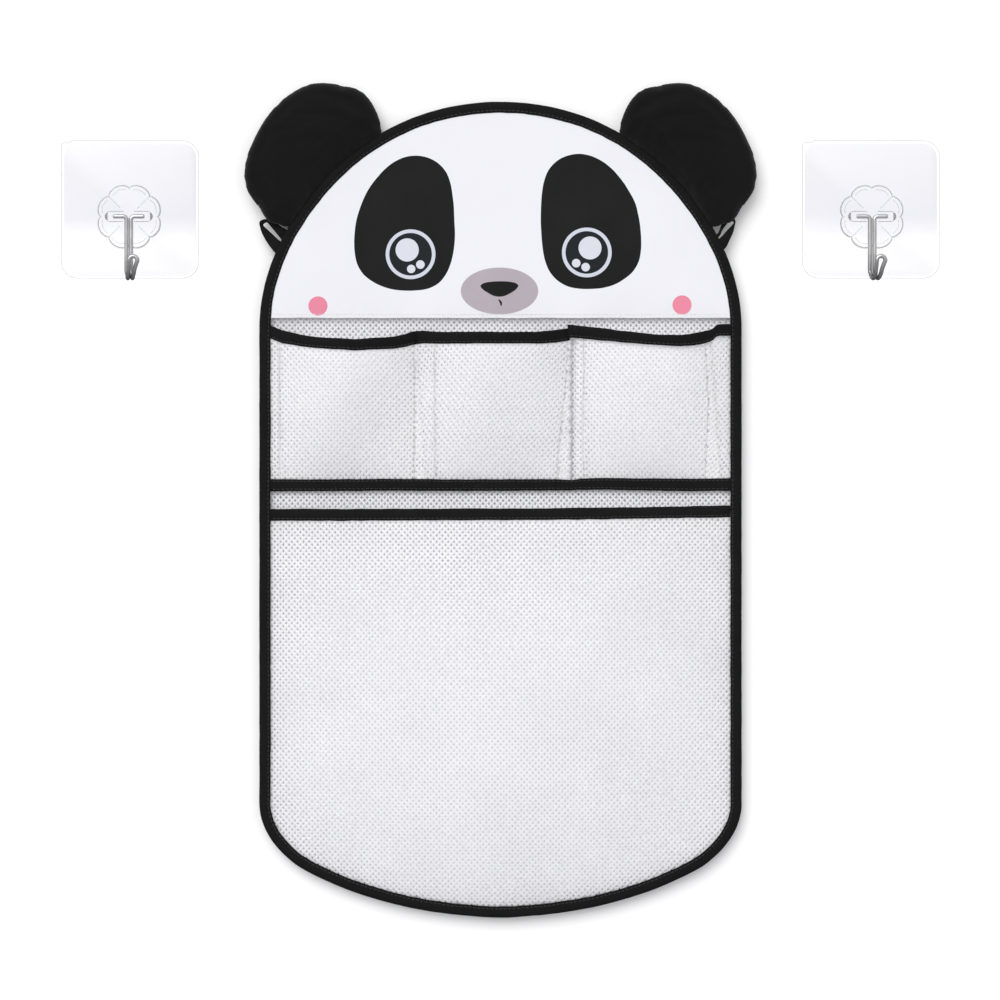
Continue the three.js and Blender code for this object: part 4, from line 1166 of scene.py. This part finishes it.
def slab(name, loop, y0, y1, round_, materials):
    """A plate with rounded edges: loop is its outline, y0 its back and y1 its front. materials: flats, edges."""
    loop = np.asarray(loop, float)
    t = np.roll(loop, -1, 0) - np.roll(loop, 1, 0)
    nrm = unit(np.column_stack([t[:, 1], -t[:, 0]]))
    m = len(loop)
    stations = [(round_, y0), (round_ * 0.3, y0 - round_ * 0.3), (0, y0 - round_), (0, y1 + round_), (round_ * 0.3, y1 + round_ * 0.3), (round_, y1)]
    verts = []
    for d_, y in stations:
        verts += [(p[0] - q[0] * d_, y, p[1] - q[1] * d_) for p, q in zip(loop, nrm)]
    faces = []
    for k in range(len(stations) - 1):
        for i in range(m):
            j = (i + 1) % m
            faces.append((k * m + i, k * m + j, (k + 1) * m + j, (k + 1) * m + i))
    edges_ = len(faces)
    last = (len(stations) - 1) * m
    faces.append(tuple(range(m)))
    faces.append(tuple(last + i for i in reversed(range(m))))
    return make(name, verts, faces, materials, slots=[1] * edges_ + [0, 0], outward=True)


def plate_loop(cx):
    h, c = HOOK_SIZE / 2, HOOK_CORNER
    pts = []
    corner = lambda sx, sz, a0, r: pts.extend((cx + sx * (h - r) + r * math.cos(a0 + t), HOOK_Z + sz * (h - r) + r * math.sin(a0 + t)) for t in np.linspace(0, math.pi / 2, 10))
    corner(1, 1, 0, c)
    pts.extend([(cx - h + 9, HOOK_Z + h), (cx - h + 7.2, HOOK_Z + h - 0.4), (cx - h + 6.8, HOOK_Z + h - 1.4), (cx - h + 1.2, HOOK_Z + h - 1.7), (cx - h + 0.3, HOOK_Z + h - 2.4)])
    corner(-1, -1, math.pi, c)
    corner(1, -1, -math.pi / 2, c)
    return even(pts, 1.2, closed=True)


def clover_r(a):
    """Four heart-shaped leaves: eight round lobes with a notch between each two."""
    return 21.1 + 2.9 * np.abs(np.sin(4 * a)) ** 0.6


def clover_loop(cx, shrink=0.0, count=192):
    a = np.linspace(0, 2 * math.pi, count, endpoint=False)
    r = clover_r(a) - shrink
    return np.column_stack([cx + r * np.cos(a), BOSS_Z + r * np.sin(a)])


def ridge(line, y, width, height):
    """A low ridge along a line on the boss's front: a closed bar of four sides."""
    line = np.asarray(line, float)
    t = unit(np.gradient(line, axis=0))
    side = np.column_stack([-t[:, 1], t[:, 0]]) * width / 2
    verts, faces = [], []
    for p, s in zip(line, side):
        verts += [(p[0] + s[0], y, p[1] + s[1]), (p[0] + s[0] * 0.5, y - height, p[1] + s[1] * 0.5), (p[0] - s[0] * 0.5, y - height, p[1] - s[1] * 0.5), (p[0] - s[0], y, p[1] - s[1])]
    n_ = len(line)
    for k in range(n_ - 1):
        for i in range(4):
            j = (i + 1) % 4
            faces.append((4 * k + i, 4 * k + j, 4 * k + 4 + j, 4 * k + 4 + i))
    faces += [(0, 1, 2, 3), tuple(4 * (n_ - 1) + i for i in (3, 2, 1, 0))]
    return verts, faces


def terraces(loops, first_slot=0):
    """Rings of one outline at several insets, joined into a closed low form. loops: (points, y, slot of the band that ends there)."""
    m = len(loops[0][0])
    verts, faces, slots = [], [], []
    for points_, y, _ in loops:
        verts += [(p[0], y, p[1]) for p in points_]
    for k in range(len(loops) - 1):
        for i in range(m):
            j = (i + 1) % m
            faces.append((k * m + i, k * m + j, (k + 1) * m + j, (k + 1) * m + i))
            slots.append(loops[k + 1][2])
    faces.append(tuple(range(m)))
    slots.append(first_slot)
    last = (len(loops) - 1) * m
    faces.append(tuple(last + i for i in reversed(range(m))))
    slots.append(first_slot)
    return verts, faces, slots


def boss(name, cx):
    """The moulded boss: a clover-shaped disc with a rounded edge, low ridges that mark its four leaves, and two sleeves for the wire."""
    f = lambda d_: clover_loop(cx, d_)
    # Slot 1, on the rounded edge's bands, is the grey step material: painted shade for the refraction lines at the
    # clear disc's edge.
    verts, faces, slots = terraces([
        (f(0.5), -2.4, 0), (f(0.1), -2.8, 0), (f(0.0), -6.0, 0), (f(0.12), -6.7, 1), (f(0.55), -7.2, 1), (f(1.1), -7.4, 1), (f(2.2), -7.45, 0),
    ])

    def add(part, slot):
        base = len(verts)
        verts.extend(part[0])
        faces.extend(tuple(i + base for i in q) for q in part[1])
        slots.extend([slot] * len(part[1]))

    # The ridges take the grey groove material (slot 2): painted shade for the faint refraction lines along them.
    for k in range(8):
        a = math.radians(22.5 + 45 * k) + np.radians(np.linspace(-15.5, 15.5, 22))
        r = clover_r(a) - 3.5
        add(ridge(np.column_stack([cx + r * np.cos(a), BOSS_Z + r * np.sin(a)]), -7.4, 0.62, 0.3), 2)
    for k, r1 in ((0, 8.4), (1, 8.8), (2, 9.4), (3, 9.4)):
        a = math.radians(45 + 90 * k)
        r = np.linspace(20.6, r1, 12)
        add(ridge(np.column_stack([cx + r * math.cos(a), BOSS_Z + r * math.sin(a)]), -7.4, 0.62, 0.3), 2)
    # Sleeves: turned about the wire's axis, round at the outer end, bored from the inner end as deep as the wire's arm.
    for sign in (-1, 1):
        prof = [(3.6, 1.95), (3.6, 3.5), (4.0, 3.9), (13.6, 3.9), (15.4, 3.3), (16.6, 2.3), (17.3, 1.0), (17.4, 0.05), (11.9, 0.05), (11.8, 1.7), (11.6, 1.95)]
        base, sides = len(verts), 28
        for x, r in prof:
            for i in range(sides):
                a = 2 * math.pi * i / sides
                verts.append((cx + sign * x, WIRE_Y + (r * 0.65 if r > 2.05 else r) * math.cos(a), BOSS_Z + r * math.sin(a)))
        k_ = len(prof)
        for k in range(k_):
            for i in range(sides):
                j = (i + 1) % sides
                faces.append((base + k * sides + i, base + k * sides + j, base + ((k + 1) % k_) * sides + j, base + ((k + 1) % k_) * sides + i))
                steep = abs(math.sin(2 * math.pi * (i + 0.5) / sides))
                # Where the sleeve turns away from the front, and at its rounded end, it takes the grey step material:
                # painted shade for refraction lines.
                slots.append(1 if (k in (2, 3) and steep > 0.86) or k in (4, 5) else 0)
    return make(name, verts, faces, [CLEAR_BOSS, CLEAR_STEP_PAINTED_SHADE, CLEAR_GROOVE_PAINTED_SHADE], slots=slots, sharp=38, outward=True)


WIRE_R = 1.55


def wire_route(cx):
    leg, corner, arm = 1.68, 2.4, 10.8
    drop, j_r, tip, tip_r, lean = 38.6, 6.6, 8.9, 3.0, 4.8
    part = lambda t: leg + (tip_r - leg) * t  # how far the two strands are apart, from the bend to the tip

    def half(sign):
        x, side = cx + sign * leg, []
        side += [(cx + sign * arm, WIRE_Y, BOSS_Z), (cx + sign * (arm - 4), WIRE_Y, BOSS_Z)]
        for i in range(5):
            a = math.pi / 2 * i / 4
            side.append((x + sign * corner * (1 - math.sin(a)), WIRE_Y, BOSS_Z - corner * (1 - math.cos(a))))
        for t in (0.35, 0.7, 1):
            side.append((x, WIRE_Y, BOSS_Z - corner - (drop - corner) * t))
        for i in range(1, 9):
            a = math.pi * i / 8
            side.append((cx + sign * part(max(0, i - 5) / 7.5) + lean * i / 11, WIRE_Y - j_r * (1 - math.cos(a)), BOSS_Z - drop - j_r * math.sin(a)))
        for t in (0.35, 0.7):
            side.append((cx + sign * part(0.4 + 0.6 * t) + lean * (8 / 11 + 3 / 11 * t), WIRE_Y - 2 * j_r - 1.5 * t, BOSS_Z - drop + (tip - tip_r) * t))
        return side

    route = half(-1)
    for i in range(5):
        a = math.pi - math.pi * i / 4
        route.append((cx + lean + tip_r * math.cos(a), WIRE_Y - 2 * j_r - 1.5, BOSS_Z - drop + tip - tip_r * (1 - math.sin(a))))
    return route + half(1)[::-1]


def tube(name, route, radius, material, sides=14, step=0.8):
    line = catmull(route, step)
    along = unit(np.gradient(line, axis=0))
    up = np.array((0.0, 0.0, 1.0)) if abs(along[0][2]) < 0.9 else np.array((0.0, 1.0, 0.0))
    rings = []
    for p, t in zip(line, along):
        up = unit(up - t * (up @ t))
        side = np.cross(t, up)
        rings.append([p + radius * (math.cos(a) * up + math.sin(a) * side) for a in np.linspace(0, 2 * math.pi, sides, endpoint=False)])
    ends = [np.array(rings[0]), np.array(rings[-1])]
    first = line[0] + (ends[0] - line[0]) * 0.7 - along[0] * radius * 0.35
    final = line[-1] + (ends[1] - line[-1]) * 0.7 + along[-1] * radius * 0.35
    return sweep(name, np.array([first, *rings, final]), material, sharp=70)


for side, cx in (("left", -HOOK_X), ("right", HOOK_X)):
    # The plate's rounded edge gets the grey edge material: painted shade for the refraction line round a clear plate.
    o = slab(f"{side}_clear_plate", plate_loop(cx), -0.9, -2.1, 0.58, [CLEAR, CLEAR_EDGE_PAINTED_SHADE])
    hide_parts(f"{side}_hook_plate")
    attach(o, f"{side}_hook")
    o.visible_shadow = o.visible_diffuse = False  # clear, so light goes through it
    h = 48.0
    pad = [(cx + sx * (h - 10.3) + 10.3 * math.cos(a0 + t), HOOK_Z + sz * (h - 10.3) + 10.3 * math.sin(a0 + t)) for sx, sz, a0 in ((1, 1, 0), (-1, 1, math.pi / 2), (-1, -1, math.pi), (1, -1, -math.pi / 2)) for t in np.linspace(0, math.pi / 2, 10)]
    o = slab(f"{side}_adhesive_film", even(pad, 1.2, closed=True), 0.0, -0.6, 0.12, [FILM, FILM])
    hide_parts(f"{side}_hook_adhesive")
    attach(o, f"{side}_hook")
    o.visible_shadow = o.visible_diffuse = False  # thin, and flush with the wall
    o = boss(f"{side}_clear_boss", cx)
    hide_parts(f"{side}_hook_boss")
    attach(o, f"{side}_hook")
    o.visible_shadow = o.visible_diffuse = False
    o = tube(f"{side}_steel_wire", wire_route(cx), WIRE_R, STEEL, step=0.6)
    o.visible_shadow = o.visible_diffuse = False  # so thin that the broad light goes round it
    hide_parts(f"{side}_hook_wire")
    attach(o, f"{side}_wire")

# CAD pieces that keep their shape.
for node, material in [("head_stiffener", BOARD)]:
    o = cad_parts[node]
    o.data.materials.clear()
    o.data.materials.append(material)

# ------------------------------------------------------------------ stage and light

wall_y, floor_z, cove = 5.0, -720.0, 120.0
profile = [(wall_y, 2600), (wall_y, floor_z + cove)]
profile += [(wall_y - cove * (1 - math.cos(a)), floor_z + cove - cove * math.sin(a)) for a in np.linspace(0.1, math.pi / 2, 12)]
profile += [(-5200, floor_z)]
verts, faces = [], []
for y, z in profile:
    verts += [(-4200, y, z), (4200, y, z)]
for k in range(len(profile) - 1):
    faces.append((2 * k, 2 * k + 1, 2 * k + 3, 2 * k + 2))
stage_mat = Mat("stage_white", 0.9)
stage_mat.bsdf.inputs["Base Color"].default_value = (0.9, 0.9, 0.9, 1)
# Seen from behind, the wall isn't there.
geo = stage_mat.node("ShaderNodeNewGeometry")
see = stage_mat.node("ShaderNodeBsdfTransparent")
mix = stage_mat.node("ShaderNodeMixShader")
stage_mat.link(geo.outputs["Backfacing"], mix.inputs["Fac"])
stage_mat.link(stage_mat.bsdf.outputs[0], mix.inputs[1])
stage_mat.link(see.outputs[0], mix.inputs[2])
stage_mat.link(mix.outputs[0], stage_mat.t.nodes["Material Output"].inputs["Surface"])
stage = make("studio_sweep", verts, faces, [stage_mat.m])
# The wall's front faces -Y.
bm = bmesh.new()
bm.from_mesh(stage.data)
bm.faces.ensure_lookup_table()
if bm.faces[0].normal.y > 0:
    bmesh.ops.reverse_faces(bm, faces=bm.faces)
bm.to_mesh(stage.data)
bm.free()
stage.visible_shadow = False
stage.visible_diffuse = False
stage.visible_glossy = False
stage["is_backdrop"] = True

world = bpy.data.worlds.new("world")
world.use_nodes = True
scene.world = world
wt = world.node_tree
back = wt.nodes["Background"]
coord = wt.nodes.new("ShaderNodeTexCoord")
split = wt.nodes.new("ShaderNodeSeparateXYZ")
wt.links.new(coord.outputs["Generated"], split.inputs[0])
ramp = wt.nodes.new("ShaderNodeValToRGB")
span = wt.nodes.new("ShaderNodeMapRange")
span.inputs["From Min"].default_value = -1
span.inputs["From Max"].default_value = 1
wt.links.new(split.outputs["Z"], span.inputs["Value"])
wt.links.new(span.outputs["Result"], ramp.inputs["Fac"])
e = ramp.color_ramp.elements
e[0].position, e[0].color = 0.2, (0.62, 0.62, 0.64, 1)
e[1].position, e[1].color = 0.85, (1.0, 1.0, 1.0, 1)
behind = wt.nodes.new("ShaderNodeMapRange")
behind.inputs["From Min"].default_value, behind.inputs["From Max"].default_value = -0.05, 0.35
behind.inputs["To Min"].default_value, behind.inputs["To Max"].default_value = 1.0, 0.52
wt.links.new(split.outputs["Y"], behind.inputs["Value"])
shade = wt.nodes.new("ShaderNodeVectorMath")
shade.operation = "SCALE"
wt.links.new(ramp.outputs["Color"], shade.inputs[0])
wt.links.new(behind.outputs["Result"], shade.inputs["Scale"])
wt.links.new(shade.outputs[0], back.inputs["Color"])
back.inputs["Strength"].default_value = 1.06


def far_light(name, come_from, power, spread):
    """A large soft light far away, so that it is as strong on the left as on the right."""
    data = bpy.data.lights.new(name, "SUN")
    data.energy = power
    data.angle = math.radians(spread)
    o = bpy.data.objects.new(name, data)
    o.location = come_from
    o.rotation_euler = (-Vector(come_from)).to_track_quat("-Z", "Y").to_euler()
    scene.collection.objects.link(o)
    return o


far_light("key", (-0.8, -2.0, 1.35), 1.65, 45)
# White net in front of white net: light goes to and fro many times between them.
scene.cycles.max_bounces = 16
scene.cycles.diffuse_bounces = 8
scene.cycles.transparent_max_bounces = 32

scene.view_settings.view_transform = "Standard"
scene.view_settings.look = "None"

lo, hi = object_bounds()
